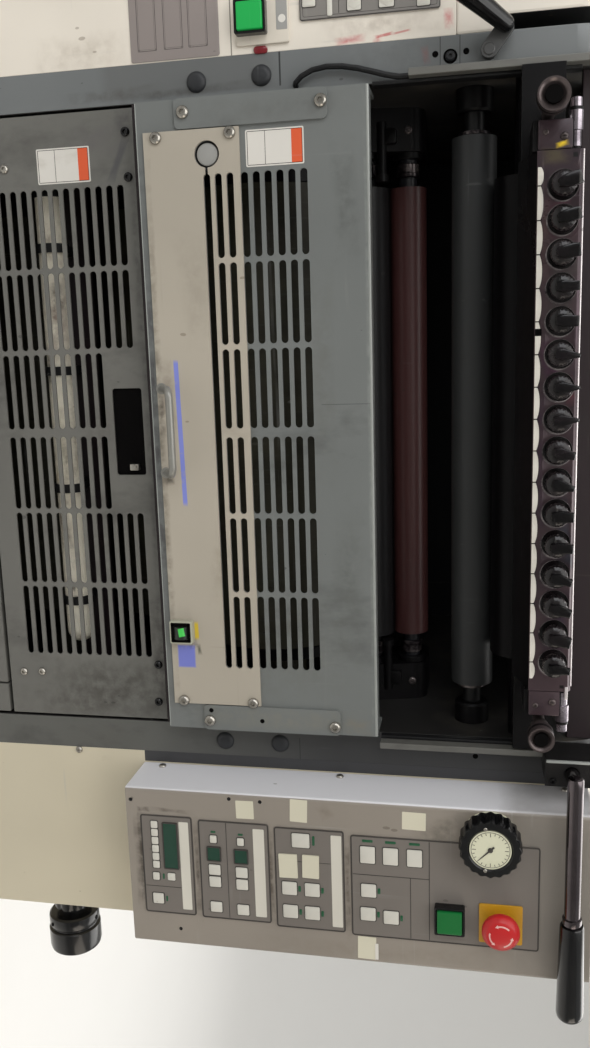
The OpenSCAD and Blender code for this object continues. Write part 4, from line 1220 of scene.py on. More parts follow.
@dataclass
class GuardTrim(Assembly):
    """Screws, lock, edge roll, handle, sticker and switch frame on the swinging guard."""

    face_y: float = -475.0
    band_y: float = -477.5
    plate_y: float = -478.0
    plate_screws: tuple[Flat, ...] = ((-321.3, 1243.9), (-320.7, 1104.2), (323.9, 1244.1), (323.0, 1101.8))
    band_screws: tuple[Flat, ...] = ((-298.5, 1151.7), (-298.2, 1074.5), (300.4, 1152.5), (300.5, 1072.4))
    holes: tuple[Flat, ...] = ((311.0, 1103.5), (321.1, 1162.0))
    lock: Flat = (-279.9, 1127.0)
    handle: Flat = (-48.0, 42.0)
    handle_foot: float = 1066.0
    handle_rise: float = 16.0
    handle_out: float = 25.0
    switch: Flat = (219.0, 1075.0)

    def make(self) -> None:
        """Builds every piece of the trim."""
        mold = Mold().wear("plated")
        mold.screws(self.plate_screws, self.plate_y, 6.5)
        mold.screws(self.band_screws, self.band_y, 6.2)
        # Black discs in the holes: painted shade.
        mold.wear("black_paint_and_shade").dots(self.holes, self.plate_y, [(2.6, 0.15), (2.6, -0.3)], 14)
        self.shop.cast(mold, "guard_screws", "guard")
        mold = Mold().wear("worn_grey")
        lock = (self.lock[0], self.face_y, self.lock[1])
        mold.lathe(lock, Axis.BACK, [(9.0, -0.4), (10.6, 0.1), (11.0, 0.8), (11.0, 3.0)], 32)
        mold.wear("iron").lathe(lock, Axis.BACK, [(15.5, 2.05), (15.5, 4.0)], 32)
        self.shop.cast(mold, "guard_lock", "guard")
        self.make_handle()
        # The rolled edges along the guard's top and foot are pale as painted highlights.
        mold = Mold().wear("painted_highlight_edge")
        mold.lathe((-333.6, self.face_y + 1.2, 1288.9), Axis.RIGHT, [(1.7, 0), (1.7, 667.2)], 14)
        mold.lathe((-333.0, self.face_y + 0.5, 1053.5), Axis.RIGHT, [(0.7, 0), (0.7, 666.0)], 10)
        self.shop.cast(mold, "guard_edge_roll", "guard")
        mold = Mold()
        mold.sticker((-300, 1167, -265, 1226), (-298.6, 1213.5, -266.4, 1224.6), 1186.6, self.face_y)
        self.shop.cast(mold, "guard_sticker", "guard")
        mold = Mold().wear("black_paint_and_shade")
        mold.rim(around(*self.switch, 22.4, 22.4, 1.2), 3.4, self.band_y - 8.12, 0.4)
        self.shop.cast(mold, "switch_surround", "guard")

    def make_handle(self) -> None:
        """Builds the bent wire handle, which leans up and out from its feet."""
        lean = self.handle_rise / self.handle_out
        wire = bent_wire(*self.handle, -0.5, self.handle_out, 9.0, 8)
        path = [(x, self.band_y - out, self.handle_foot + lean * out) for x, out in wire]
        mold = Mold().wear("dull_steel")
        mold.tube(path, 4.0, (0, 0, 1), 16)
        feet = [(x, self.handle_foot) for x in self.handle]
        mold.dots(feet, self.band_y, [(5.6, 0.9), (6.0, 0.4), (6.0, -0.2)], 24)
        self.shop.cast(mold, "handle_wire", "guard", ("guard_handle",))


@dataclass
class OpeningTrim(Assembly):
    """Seals, roller collars and the brackets' bolts in the opening over the guard."""

    seal_y: float = -458.0
    upper: Flat = (-397.0, 1390.0)
    red: Flat = (-325.8, 1316.4)
    form: Flat = (-335.3, 1271.6)

    def make(self) -> None:
        """Builds the seals, the collars and the bolts."""
        mold = Mold().wear("rubber")
        mold.slab(rounded(-339.5, 1292, -335.6, 1490, 0.8), self.seal_y, 14, 0.8)
        mold.slab(rounded(339.3, 1292, 343.2, 1464, 0.8), self.seal_y, 9, 0.8)
        self.shop.cast(mold, "opening_seals")
        mold = Mold()
        for side, axis in BOTH_SIDES:
            collar = [(15, 0), (16, 1), (16, 4), (12, 5)]
            mold.wear("wet_rim").lathe((side * 293, *self.upper), axis, collar, 28)
            mold.wear("soot").lathe((side * 316, *self.upper), axis, [(17, 0), (19, 2), (19, 22.8)], 28)
        self.shop.cast(mold, "upper_roller_sockets")
        for name, (y, z) in (("red_roller_collars", self.red), ("form_roller_collars", self.form)):
            mold = Mold()
            for side, axis in BOTH_SIDES:
                mold.wear("soot").lathe((side * 287, y, z), axis, [(15, 0), (16, 1), (16, 7.5)], 24)
                collar = [(12.4, 0), (13.4, 1), (13.4, 4), (12.4, 5), (12.4, 14), (11.0, 15)]
                mold.wear("wet_rim").lathe((side * 268, y, z), axis, collar, 28)
            self.shop.cast(mold, name)
        self.make_bracket_bolts()

    def make_bracket_bolts(self) -> None:
        """Builds the bolts and eccentric arms on the faces of the roller brackets."""
        mold = Mold()
        y, z = self.red
        for side, axis in ((-1, Axis.RIGHT), (1, Axis.LEFT)):
            mold.wear("wet_rim").screw((side * 304, self.form[0] - 18.6, self.form[1] + 3), 4.2)
            mold.screw((side * 316, y - 18.3, z + 2), 4.8)
            mold.wear("soot").slab(rounded(side * 309 - 8, z - 24, side * 309 + 8, z - 10, 3), y - 30, 16, 1.2)
            mold.lathe((side * 294, y - 26, z - 26), axis, [(5, -30), (5, 24), (7, 24.5), (7, 32), (4, 33)], 20)
        self.shop.cast(mold, "bracket_bolts")


@dataclass
class FountainTrim(Assembly):
    """The ink keys with their painted glints, the scallop rims pale as painted highlights, the pale scale, the end
    plates and the fountain's edges, pale as painted highlights.
    """

    face_y: float = -535.0
    key_z: float = 1469.0
    pitch: float = 29.5
    scallop: float = 13.5
    top_z: float = 1486.0
    half: float = 251.0
    scale_z: float = 1447.2
    wings: tuple[Flat, ...] = (
        (-14, 5.4), (-13, 5.0), (-7, 5.6), (-2, 4.0), (3, 4.6), (5, 1.6), (1, 1.2), (-1, 1.2),
        (12, 3.4), (15, 2.2), (2, 4.4), (3, 4.0), (16, 3.2), (18, 3.6), (14, 4.8), (8, 2.6),
    )
    scale_gap: Box = (-97.0, 1446.6, -90.5, 1452.4)
    knob_z: float = 1458.0

    def key_places(self) -> list[float]:
        """Returns the X of each ink key."""
        return [(number - (len(self.wings) - 1) / 2) * self.pitch for number in range(len(self.wings))]

    def make(self) -> None:
        """Builds every piece of the fountain's trim."""
        self.make_keys()
        self.make_scallops()
        # The fountain's top edge and the short strip at the right end are pale as painted highlights.
        mold = Mold().wear("fountain_highlight_edge")
        mold.lathe((-self.half, self.face_y + 3.9, self.top_z - 0.1), Axis.RIGHT, [(1.0, 0), (1.0, 497)], 10)
        mold.slab(rounded(246, 1480.6, 259, 1483.4, 0.6), self.face_y - 0.4, 5.0, 0.4)
        self.shop.cast(mold, "fountain_edges")
        self.make_scale()
        self.make_end_plates()
        self.make_knob_bore_shade()

    def make_keys(self) -> None:
        """Builds the ink keys: a waisted hub and a thumb wing, each turned and worn to its own width."""
        chance = random.Random(7)
        mold = Mold()
        hub = [(5.0, 6.5), (7.6, 7.4), (8.4, 9.0), (9.4, 10.5), (11.0, 14.0), (10.9, 17.5), (10.2, 21.0),
               (8.0, 22.6), (5.0, 23.4)]

        def knurl(angle: float, place: int) -> float:
            """Returns the ripple on the hub's wide rings."""
            return 1 + 0.03 * math.cos(18 * angle) if 3 <= place <= 6 else 1.0

        for x, (turned, tip) in zip(self.key_places(), self.wings):
            seat = (x, self.face_y + 5.2, self.key_z)
            mold.wear("stained_steel").lathe(seat, Axis.FRONT, [(7.4, 0), (7.4, 2.0), (5, 2.6), (5, 9)], 24)
            mold.wear("inky_black").lathe(seat, Axis.FRONT, hub, 72, knurl)
            top, shoulder = 16.4 if tip < 2 else 14.4, max(3.6, tip + 0.6)
            half = [(-3.4, -6.0), (-5.4, 1.0), (-shoulder, 9.0), (-tip, top)]
            wing = half[:1] + [(-across, up) for across, up in half] + half[:0:-1]
            mold.wear("wing_black").turn(x, self.key_z, turned).slab(wing, self.face_y - 23.8, 7.0, 1.5)
            # Four small pale drops round each hub are painted glints.
            mold.turn().wear("painted_glint_and_ink")
            for _ in range(4):
                spot, reach = math.radians(chance.uniform(-20, 200)), chance.uniform(8.4, 9.8)
                drop = chance.uniform(0.7, 1.7)
                at = (x - reach * math.cos(spot), self.face_y - 12.2, self.key_z + reach * math.sin(spot))
                mold.lathe(at, Axis.FRONT, [(drop, -2), (drop, 0), (drop * 0.7, 0.5), (drop * 0.2, 0.7)], 10)
        self.shop.cast(mold, "ink_key_row", "unit", ("ink_keys",))

    def make_scallops(self) -> None:
        """Builds the scallops' crescent rims, pale as a painted highlight and widest at the lower right, and their
        dark floors.
        """
        def crescent(angle: float, place: int) -> float:
            """Returns a rim that widens towards the lower right."""
            return 1 + 0.1 * (0.5 + 0.5 * math.cos(angle + 2.2)) ** 2 if place in (2, 3) else 1.0

        mold = Mold()
        inner, outer, floor = self.scallop - 0.15, self.scallop + 0.1, self.scallop - 0.3
        ring = [(inner, -3.5), (inner, 0.2), (outer, 0.2), (outer, -0.15)]
        for x in self.key_places():
            mold.wear("painted_glint_and_ink").lathe((x, self.face_y, self.key_z), Axis.FRONT, ring, 40, crescent, closed=True)
            mold.wear("inky_black").dots([(x, self.key_z)], self.face_y + 5.2, [(floor, 0.5), (floor, 0)], 32)
        self.shop.cast(mold, "scallop_rims")

    def make_scale(self) -> None:
        """Builds the pale scale, whose upper edge dips at each key, with a dark joint there."""
        mold = Mold().wear("white")
        low, high, dip = self.scale_z - 0.4, self.scale_z + 4.6, 2.2
        places = [-self.half + 13.5, *self.key_places(), self.half - 12.5]
        for left, right in zip(places, places[1:]):
            start, end = left + 0.5, right - 0.5
            crest = [(end - (end - start) * step / 8, high - dip * abs(step / 4 - 1) ** 2.5) for step in range(9)]
            mold.slab([(start, low), (end, low), *crest], self.face_y - 1.0, 1.4)
        mold.wear("black_paint_and_shade")
        for x in self.key_places():
            mold.line((x - 0.45, low - 0.2, x + 0.45, high - dip + 0.6), self.face_y - 1.1, 1.3)
        # A black slab over the gap in the scale: painted shade.
        mold.slab(rounded(*self.scale_gap, 0.3, 2), self.face_y - 1.15, 1.5)
        self.shop.cast(mold, "scale_strip", "unit", ("fountain_scale",))

    def make_end_plates(self) -> None:
        """Builds both end plates with their screws and the ink-wet clamp bars."""
        mold = Mold()
        rod = [(5.0, 3), (5.0, 16), (6.4, 16.5), (6.4, 33), (5.2, 33.5), (5.2, 43.5)]
        for side, axis in BOTH_SIDES:
            plate = rounded(side * 264 - 12.5, 1446.5, side * 264 + 12.5, 1476, 1.5)
            mold.wear("inked").slab(plate, self.face_y, 4, 0.8)
            mold.wear("stained_steel").screw((side * 262, self.face_y, 1469), 3.4, Axis.FRONT, Drive.SLOT)
            mold.screw((side * 266, self.face_y, 1453), 2.6)
            mold.wear("wet_chrome").lathe((side * self.half, self.face_y + 9, self.top_z - 7), axis, rod, 24)
        self.shop.cast(mold, "fountain_end_plates")

    def make_knob_bore_shade(self) -> None:
        """Builds black discs in the hollow knobs' bores, as painted shade, and dark bands round the knobs beside the
        fountain.
        """
        for x, radius, body in ((-292.0, 14.0, "left_knob"), (292.0, 12.5, "right_knob")):
            mold = Mold().wear("black_paint_and_shade")
            bore, band = radius * 0.55 - 0.12, radius + 0.25
            # A black disc deep in the bore: painted shade.
            mold.dots([(x, self.knob_z)], self.face_y - 11.2, [(bore, 13.2), (bore, 0.3)], 32)
            mold.wear("soot").lathe((x, self.face_y - 24.6, self.knob_z), Axis.BACK, [(band, 8), (band, 12)], 32)
            self.shop.cast(mold, f"{body}_bore_shade", body)


@dataclass
class FilmPanel:
    """One printed film on the control box: its limits, its pale heading strip and its ruled lines."""

    limits: Box
    strip: Box | None
    lines: tuple[Box, ...]

    def press_on(self, mold: Mold, face_y: float) -> None:
        """Adds the film's outline, lines and strip to a mold.

        Args:
            mold: Takes the faces.
            face_y: Y of the film's face.
        """
        mold.wear("print_dark").rim(rounded(*self.limits, 3), 1.5, face_y - 0.14)
        for line in self.lines:
            mold.line(line, face_y - 0.12)
        if self.strip:
            mold.wear("pale_strip").slab(around(*self.strip, 1.0), face_y - 0.16, 0.3)


@dataclass
class ControlPanel(Assembly):
    """The printing on the control box: films, key frames, lamps, displays, tapes and small screws."""

    film_y: float = -519.0
    box_y: float = -518.0
    key_y: float = -520.0
    films: tuple[FilmPanel, ...] = (
        FilmPanel((428, 1264, 547, 1462), None,
                  ((430, 1347.6, 545, 1348.4), (473.2, 1266, 474, 1348), (474, 1327.6, 545, 1328.4))),
        FilmPanel((425, 1180, 545, 1257), (485, 1248.4, 109, 11.5), ((464, 1183, 464.6, 1242),)),
        FilmPanel((423, 1094, 542, 1174), (482.5, 1162.5, 106, 12.5), ((425, 1125.5, 540, 1126.2),)),
        FilmPanel((421, 1027, 541, 1087), (481, 1077, 107, 11), ((507.7, 1029, 508.4, 1071),)),
    )
    tall_keys: tuple[Flat, ...] = ((450, 1332.5), (450, 1307), (450, 1282.4))
    wide_keys: tuple[Flat, ...] = (
        (522, 1307), (492, 1283), (520, 1282), (497, 1221), (525, 1220.5), (497, 1195.6), (525, 1196),
    )
    small_keys: tuple[Flat, ...] = (
        (483, 1142), (497.6, 1142), (528.5, 1142), (482, 1111), (496.6, 1111), (527.5, 1111), (523, 1043),
    )
    tiny_keys: tuple[Flat, ...] = ((446, 1142), (445, 1111), (495, 1060), (495.6, 1042))
    lamps: tuple[Box, ...] = ((437.5, 1142, 2.2, 5.4), (436.5, 1111, 2.2, 5.4), (495.4, 1050.6, 6.4, 2.0),
                              (523, 1053, 6.4, 2.0))
    displays: tuple[Box, ...] = ((463.6, 1142, 15.7, 14.3), (462.6, 1111, 15.7, 14.3), (457, 1061, 54.5, 15.7))
    tapes: tuple[tuple[float, ...], ...] = (
        (405, 1208, 26, 19, 2), (408, 1148, 21, 20, -1), (562, 1280, 27, 20, 1), (408, 1332, 20, 25, 1),
    )
    film_tapes: tuple[tuple[float, ...], ...] = ((469, 1220, 27, 18.5, 1), (470, 1195, 28, 20.5, -1))
    spots: tuple[Flat, ...] = ((404.5, 1016.4), (560.1, 1067.0), (396.4, 1130.6), (397.6, 1165.4), (404.0, 1500.0))

    def make(self) -> None:
        """Builds the films' printing, the keys, the displays, the tapes and the screws."""
        mold = Mold()
        for film in self.films:
            film.press_on(mold, self.film_y)
        self.shop.cast(mold, "film_printing")
        self.make_keys()
        mold = Mold()
        for x, z, width, height in self.displays:
            mold.wear("print_dark").rim(around(x, z, width + 2, height + 2, 1.2), 1.3, self.key_y - 0.5, 1.2)
            mold.wear("display").slab(around(x, z, width - 0.4, height - 0.4, 0.8), self.key_y - 0.25, 0.5)
        self.shop.cast(mold, "green_displays")
        self.make_tapes()
        mold = Mold().wear("plated")
        for z in (1245.4, 1036, 1490):
            mold.screw((390, -462, z), 4.2, Axis.LEFT, Drive.SLOT)
            mold.screw((580, -470, z), 4.2, Axis.RIGHT, Drive.SLOT)
        mold.wear("gloss_black").dots(self.spots, self.box_y, [(1.1, 0.5), (2.0, 0.3), (2.2, -0.3)], 14)
        self.shop.cast(mold, "box_screws")

    def make_keys(self) -> None:
        """Builds each key's dark printed frame, its slightly domed face and its lamp."""
        mold = Mold()
        keys = [(*at, 19.5, 16) for at in self.tall_keys] + [(*at, 15.4, 16.3) for at in self.wide_keys]
        keys += [(439, 1209.6, 16.5, 19.5)] + [(*at, 12.5, 13.3) for at in self.small_keys]
        keys += [(*at, 9, 7.8) for at in self.tiny_keys]
        keys += [(432.4 + 9.72 * number, 1043, 8.6, 7.8) for number in range(6)]
        for x, z, width, height in keys:
            frame = around(x, z, width + 1.8, height + 1.8, 2.0)
            mold.wear("print_dark").rim(frame, 1.0, self.film_y - 0.35, 0.5)
            face = around(x, z, width - 1.6, height - 1.6, 1.4)
            mold.wear("key").slab(face, self.key_y - 0.3, 0.5, 0.25)
        lamps = [(434, z, 2.8, 11.4) for _, z in self.tall_keys] + [(438.5, 1223.6, 11, 2.6)]
        lamps += [(x, z + 11.2, 6.6, 2.8) for x, z in self.wide_keys]
        mold.wear("unlit_green")
        for lamp in lamps:
            mold.slab(around(*lamp, 0.8), self.film_y - 0.5, 0.6, 0.3)
        for lamp in self.lamps:
            mold.slab(around(*lamp, 0.6), self.film_y - 0.4, 0.5, 0.2)
        self.shop.cast(mold, "key_frames")

    def make_tapes(self) -> None:
        """Builds the pieces of pale tape, one of them with a peeled white edge."""
        mold = Mold().wear("tape")
        for front, thick, tapes in ((self.box_y - 0.22, 0.4, self.tapes), (self.key_y - 0.42, 1.4, self.film_tapes)):
            for x, z, width, height, angle in tapes:
                mold.turn(x, z, angle).slab(around(0, 0, width, height, 0.8), front, thick)
        mold.turn().wear("paper").slab(rounded(556, 1289, 575, 1292.5, 0.6), self.box_y - 0.6, 0.7)
        self.shop.cast(mold, "panel_tapes")


@dataclass
class Dial(Assembly):
    """The printed scale, the needle and the scalloped rim of the black dial wheel."""

    at: Flat = (419.0, 1411.0)
    front: float = -547.0
    rim: float = 32.0
    scale: float = 18.6

    def make(self) -> None:
        """Builds the scale, the needle and the wheel."""
        x, z = self.at
        mold = Mold().wear("print_dark")
        for step in range(24):
            foot = self.scale - (2.4 if step % 6 else 4.2)
            mold.turn(x, z, 15 * step).line((-0.3, foot, 0.3, self.scale), self.front + 0.85)
        circle = [((self.scale + 1) * math.cos(a), (self.scale + 1) * math.sin(a))
                  for a in (k * math.pi / 24 for k in range(48))]
        mold.turn(x, z).rim(circle, 0.5, self.front + 0.85)
        mold.turn(x, z, 135).slab([(-1.0, -5), (1.0, -5), (0.25, 16), (-0.25, 16)], self.front + 0.3, 0.7)
        mold.turn().dots([self.at], self.front + 1, [(2.6, -0.5), (2.6, 0.9), (1.8, 1.3)], 20)
        self.shop.cast(mold, "dial_print")

        def grip(angle: float, place: int) -> float:
            """Returns the twenty shallow scallops on the wheel's outer rings."""
            return 1 - 0.05 * (0.5 - 0.5 * math.cos(20 * angle)) if place < 4 else 1.0

        rings = [(self.rim - 1.6, 22.6), (self.rim, 20.4), (self.rim, 2.2), (self.rim - 1.6, 0.2), (7, 0.2),
                 (7, 16.2), (21.9, 16.2), (21.9, 21.6), (self.rim - 9.0, 22.9)]
        wheel = Mold().wear("gloss_black")
        wheel.lathe((x, self.front + 23, z), Axis.FRONT, rings, 160, grip, closed=True)
        screws = [(x - 22.8, z - 5), (x + 22.8, z - 5)]
        wheel.wear("plated").dots(screws, self.front + 0.5, [(1.4, 0.9), (1.9, 0.5), (1.9, -0.6)], 14)
        self.shop.cast(wheel, "dial_grip", "dial", ("dial_wheel",))


@dataclass
class StopHead(Assembly):
    """The smooth mushroom head of the stop button and its three curved arrows."""

    at: Flat = (518.0, 1422.5)
    foot: float = -530.0
    brow: Flat = (8.2, 12.7)
    slope: float = 1 / 6.6

    def make(self) -> None:
        """Builds the head, with the arrows lying on its slope, and its collar."""
        profile = [(8.0, -49.5), (8.0, 0), (17.5, 0), (19.2, 0.8), (19.5, 2.2), (19.5, 6.2), (19.0, 7.6),
                   (15.6, 11.0), (14.8, 11.7), self.brow, (3.0, 12.9)]
        mold = Mold().wear("red")
        mold.dots([self.at], self.foot, profile, 64)
        mold.wear("arrow_white")
        for start in (15, 135, 255):
            arc = [math.radians(start + 6 * step) for step in range(11)]
            tip = arc[-1]
            self.strip(mold, [(angle, 10.7, 12.3) for angle in arc])
            self.strip(mold, [(tip, 9.4, 13.6), (tip + 0.13, 10.6, 12.5), (tip + 0.27, 11.5, 11.6)])
        self.shop.cast(mold, "stop_head", "stop", ("stop_button",))
        mold = Mold().wear("yellow")
        mold.dots([self.at], -521, [(13, -0.3), (13, 2.4), (12, 3.2)], 40)
        self.shop.cast(mold, "stop_collar")

    def strip(self, mold: Mold, stations: list[Point]) -> None:
        """Adds a thin band that follows the head's slope.

        Args:
            mold: Takes the faces.
            stations: Angle, inner radius and outer radius along the band.
        """
        rings = []
        for angle, low, high in stations:
            ring = []
            for radius, lift in ((low, 0.12), (high, 0.12), (high, -0.2), (low, -0.2)):
                depth = self.brow[1] - (radius - self.brow[0]) * self.slope + lift
                x, z = self.at[0] + radius * math.cos(angle), self.at[1] + radius * math.sin(angle)
                ring.append((x, self.foot - depth, z))
            rings.append(ring)
        mold.loft(rings)


@dataclass
class Levers(Assembly):
    """The chrome lever's ferrule, end and grip, its bracket's pale edge, a painted highlight, and the short lever's
    boss.
    """

    at: Flat = (353.0, 1493.0)
    y: float = -538.0
    length: float = 254.0
    grip: float = 107.0

    def make(self) -> None:
        """Builds the pieces of both levers."""
        x, z = self.at
        grip_x = x + self.length - self.grip
        mold = Mold().wear("chrome")
        mold.lathe((x - 12, self.y, z), Axis.RIGHT, [(5.5, -2.4), (7.4, -1.4), (8.2, 0.4), (8.2, 12)], 32)
        mold.lathe((grip_x - 9, self.y, z), Axis.RIGHT, [(8.3, 0), (9.8, 1), (9.8, 8), (9.2, 9.5)], 32)
        self.shop.cast(mold, "lever_ferrule", "lever")
        mold = Mold().wear("gloss_black")
        profile = [(8.1, 0), (11.2, 0), (12.0, 1.4), (12.9, 40), (14.0, 96), (14.0, 100), (13.2, 103.6),
                   (11.4, 106), (8.0, 107.4), (3.0, 108)]
        mold.lathe((grip_x, self.y, z), Axis.RIGHT, profile, 48)
        self.shop.cast(mold, "lever_handgrip", "lever", ("lever_grip",))
        # The bracket's pale front edge is a painted highlight.
        mold = Mold().wear("painted_highlight_edge")
        mold.slab(rounded(339.6, 1467, 342.0, 1522, 0.8), -500.6, 3, 0.4)
        mold.wear("soot").screws([(362, 1474), (362, 1515)], -500, 3.6)
        self.shop.cast(mold, "lever_bracket_edge")
        mold = Mold().wear("left_lever")
        mold.dots([(-358, 1404)], -463.8, [(4.6, 1.4), (5.4, 0.8), (5.6, -0.2)], 24)
        self.shop.cast(mold, "short_lever_boss", "left_arm")


@dataclass
class HandKnob(Assembly):
    """The two-stage hand knob: a ribbed hub, two smooth rims with a groove between them, and its set screws."""

    at: Flat = (-395.0, 876.0)
    side: float = 590.0
    screw_reach: float = 31.6

    def make(self) -> None:
        """Builds the knob with its hub and screws."""
        def ribs(angle: float, place: int) -> float:
            """Returns the eight shallow ribs of the hub."""
            return 1 - 0.07 * (0.5 - 0.5 * math.cos(8 * angle)) ** 3 if 4 <= place <= 6 else 1.0

        y, z = self.at
        profile = [(8.0, -37), (8.0, 6), (20, 6), (23.4, 8), (24, 11), (24, 28), (23.4, 32), (19.5, 34), (19.5, 40),
                   (29.0, 40.4), (31.4, 42.4), (32.0, 45), (32.0, 55), (31.0, 56.6), (30.2, 57), (30.2, 59.4),
                   (31.4, 59.8), (33.0, 61.4), (33.0, 84), (31.8, 89), (29.0, 91.4), (25.0, 91.9), (24.0, 90.9),
                   (14, 90.9)]
        mold = Mold().wear("gloss_black")
        mold.lathe((self.side, y, z), Axis.RIGHT, profile, 96, ribs)
        mold.wear("plated").lathe((self.side + 90.8, y, z), Axis.RIGHT, [(11, -0.5), (11, 0.6)], 32)
        mold.wear("soot")
        for turn in (-0.6, 1.5, 3.6):
            front, up = y - self.screw_reach * math.cos(turn), z + self.screw_reach * math.sin(turn)
            mold.place = Matrix.Translation((self.side + 50, front, up)) @ Matrix.Rotation(turn, 4, "X")
            mold.lathe((0, 0, 0), Axis.FRONT, [(2.6, -1.5), (2.6, 0.5), (1.4, 0.5), (1.4, -0.8)], 16)
        self.shop.cast(mold, "hand_knob_rims", "knob", ("hand_knob",))


@dataclass
class LeftPanelTrim(Assembly):
    """Key frames, lamps and printed frames on the left covers."""

    top_y: float = -452.0
    mid_y: float = -453.0
    low_y: float = -451.0
    key_y: float = -453.0
    side_y: float = -450.0
    plain_keys: tuple[Box, ...] = ((-415, 1342, 18, 10.5), (-423, 1230.5, 16, 11))
    arrow_keys: tuple[Box, ...] = ((-416, 1306.5, 16, 12.5), (-416, 1275, 16, 11.5))
    far_rows: tuple[float, ...] = (1342, 1306.5, 1275, 1230.5)
    far_columns: tuple[float, ...] = (-452, -480, -508, -530)
    lamps_z: float = 1180.0

    def make(self) -> None:
        """Builds the panel's printing, its keys and the plates below it."""
        mold = Mold().wear("print_dark")
        mold.rim(rounded(-545, 1221, -402, 1358, 2.5), 0.9, self.top_y - 0.15)
        mold.rim(rounded(-542, 1224, -405, 1355, 2.0), 0.4, self.top_y - 0.12)
        mold.line((-541, 1259.6, -406, 1260.2), self.top_y - 0.12)
        near = [(box, around(*box, 1.5)) for box in self.plain_keys]
        for x, z, width, height in self.arrow_keys:
            left, right, half = x - width / 2, x + width / 2, height / 2
            arrow = [(right - 4, z + half), (left, z + half), (left, z - half), (right - 4, z - half), (right, z)]
            near.append(((x, z, width, height), arrow))
        for (x, z, width, height), face in near:
            frame = around(x, z, width + 3.6, height + 3.6, 2.0)
            mold.wear("print_dark").rim(frame, 1.0, self.top_y - 0.4, 0.6)
            mold.wear("key").slab(face, self.key_y - 0.35, 0.6, 0.2)
        for x, z in ((x, z) for z in self.far_rows for x in self.far_columns):
            mold.wear("print_dark").rim(around(x, z, 17.6, 14.6, 2.0), 1.0, self.top_y - 0.35, 0.5)
            mold.wear("key").slab(around(x, z, 15.2, 12.2, 1.5), self.top_y - 0.9, 1.0, 0.25)
        self.shop.cast(mold, "left_film_keys")
        self.make_plates()

    def make_plates(self) -> None:
        """Builds the switch panel's strip and lamps, the oval side lamp and the lowest plate's double frames."""
        mold = Mold().wear("worn_grey")
        mold.slab(rounded(-444, 1197.5, -396, 1208.5, 0.8), self.mid_y - 0.25, 0.4)
        mold.wear("paper").dots([(-406, 1203.2)], self.mid_y - 0.2, [(3.6, 0.2), (4.0, -0.2)], 28)
        for x, lens in ((-462, "lamp_red"), (-492, "pale_strip"), (-522, "pale_strip")):
            at = [(x, self.lamps_z)]
            mold.wear("gloss_black").dots(at, self.mid_y, [(10.5, 0), (10.5, 3), (8.6, 5)], 32)
            mold.wear(lens).dots(at, self.mid_y - 4.6, [(7.4, 0), (7.0, 5), (5.2, 6.8)], 32)
        self.shop.cast(mold, "switch_plate_trim")
        mold = Mold().wear("lamp_red")
        mold.slab(rounded(-383.2, 1173, -376.0, 1187.4, 3.3, 5), self.side_y - 2.0, 2.4, 0.8)
        self.shop.cast(mold, "side_lamp")
        mold = Mold().wear("print_dark")
        for low in (1052, 1080, 1106):
            near, far = (rounded(left, low, right, low + 20, 1.0) for left, right in ((-452, -388), (-538, -462)))
            for outline, width in ((near, 0.4), (inset(near, 1.6), 0.3), (far, 0.4)):
                mold.rim(outline, width, self.low_y - 0.12)
        self.shop.cast(mold, "low_plate_frames")


@dataclass
class FrameTrim(Assembly):
    """Plugs, holes and bolts on the front faces of the side frames."""

    front_y: float = -450.0
    plugs: tuple[Flat, ...] = ((-356.0, 1180.0), (-355.0, 1112.0), (359.0, 1175.0), (359.0, 1110.0))
    holes: tuple[Flat, ...] = ((-361.5, 1382.4), (-361.2, 1352.9), (362.0, 1395.0))
    large_hole: Flat = (-358.2, 1367.3)
    bolts: tuple[Flat, ...] = ((-358, 470), (-358, 250), (358, 470), (358, 250))

    def make(self) -> None:
        """Builds the trim of both frames."""
        mold = Mold()
        mold.wear("plug").dots(self.plugs, self.front_y, [(5, 4.0), (8.2, 3.2), (10.1, 1.2), (10.5, -0.3)], 32)
        # Black discs in the holes: painted shade.
        mold.wear("black_paint_and_shade").dots(self.holes, self.front_y, [(3.0, 0.12), (3.0, -0.3)], 16)
        mold.dots([self.large_hole], self.front_y, [(6.8, 0.15), (6.8, -0.2)], 28)
        mold.wear("plug").screws([self.large_hole], self.front_y - 0.1, 4.8)
        mold.wear("plated").screws(self.bolts, self.front_y, 7.5)
        self.shop.cast(mold, "frame_front_trim")


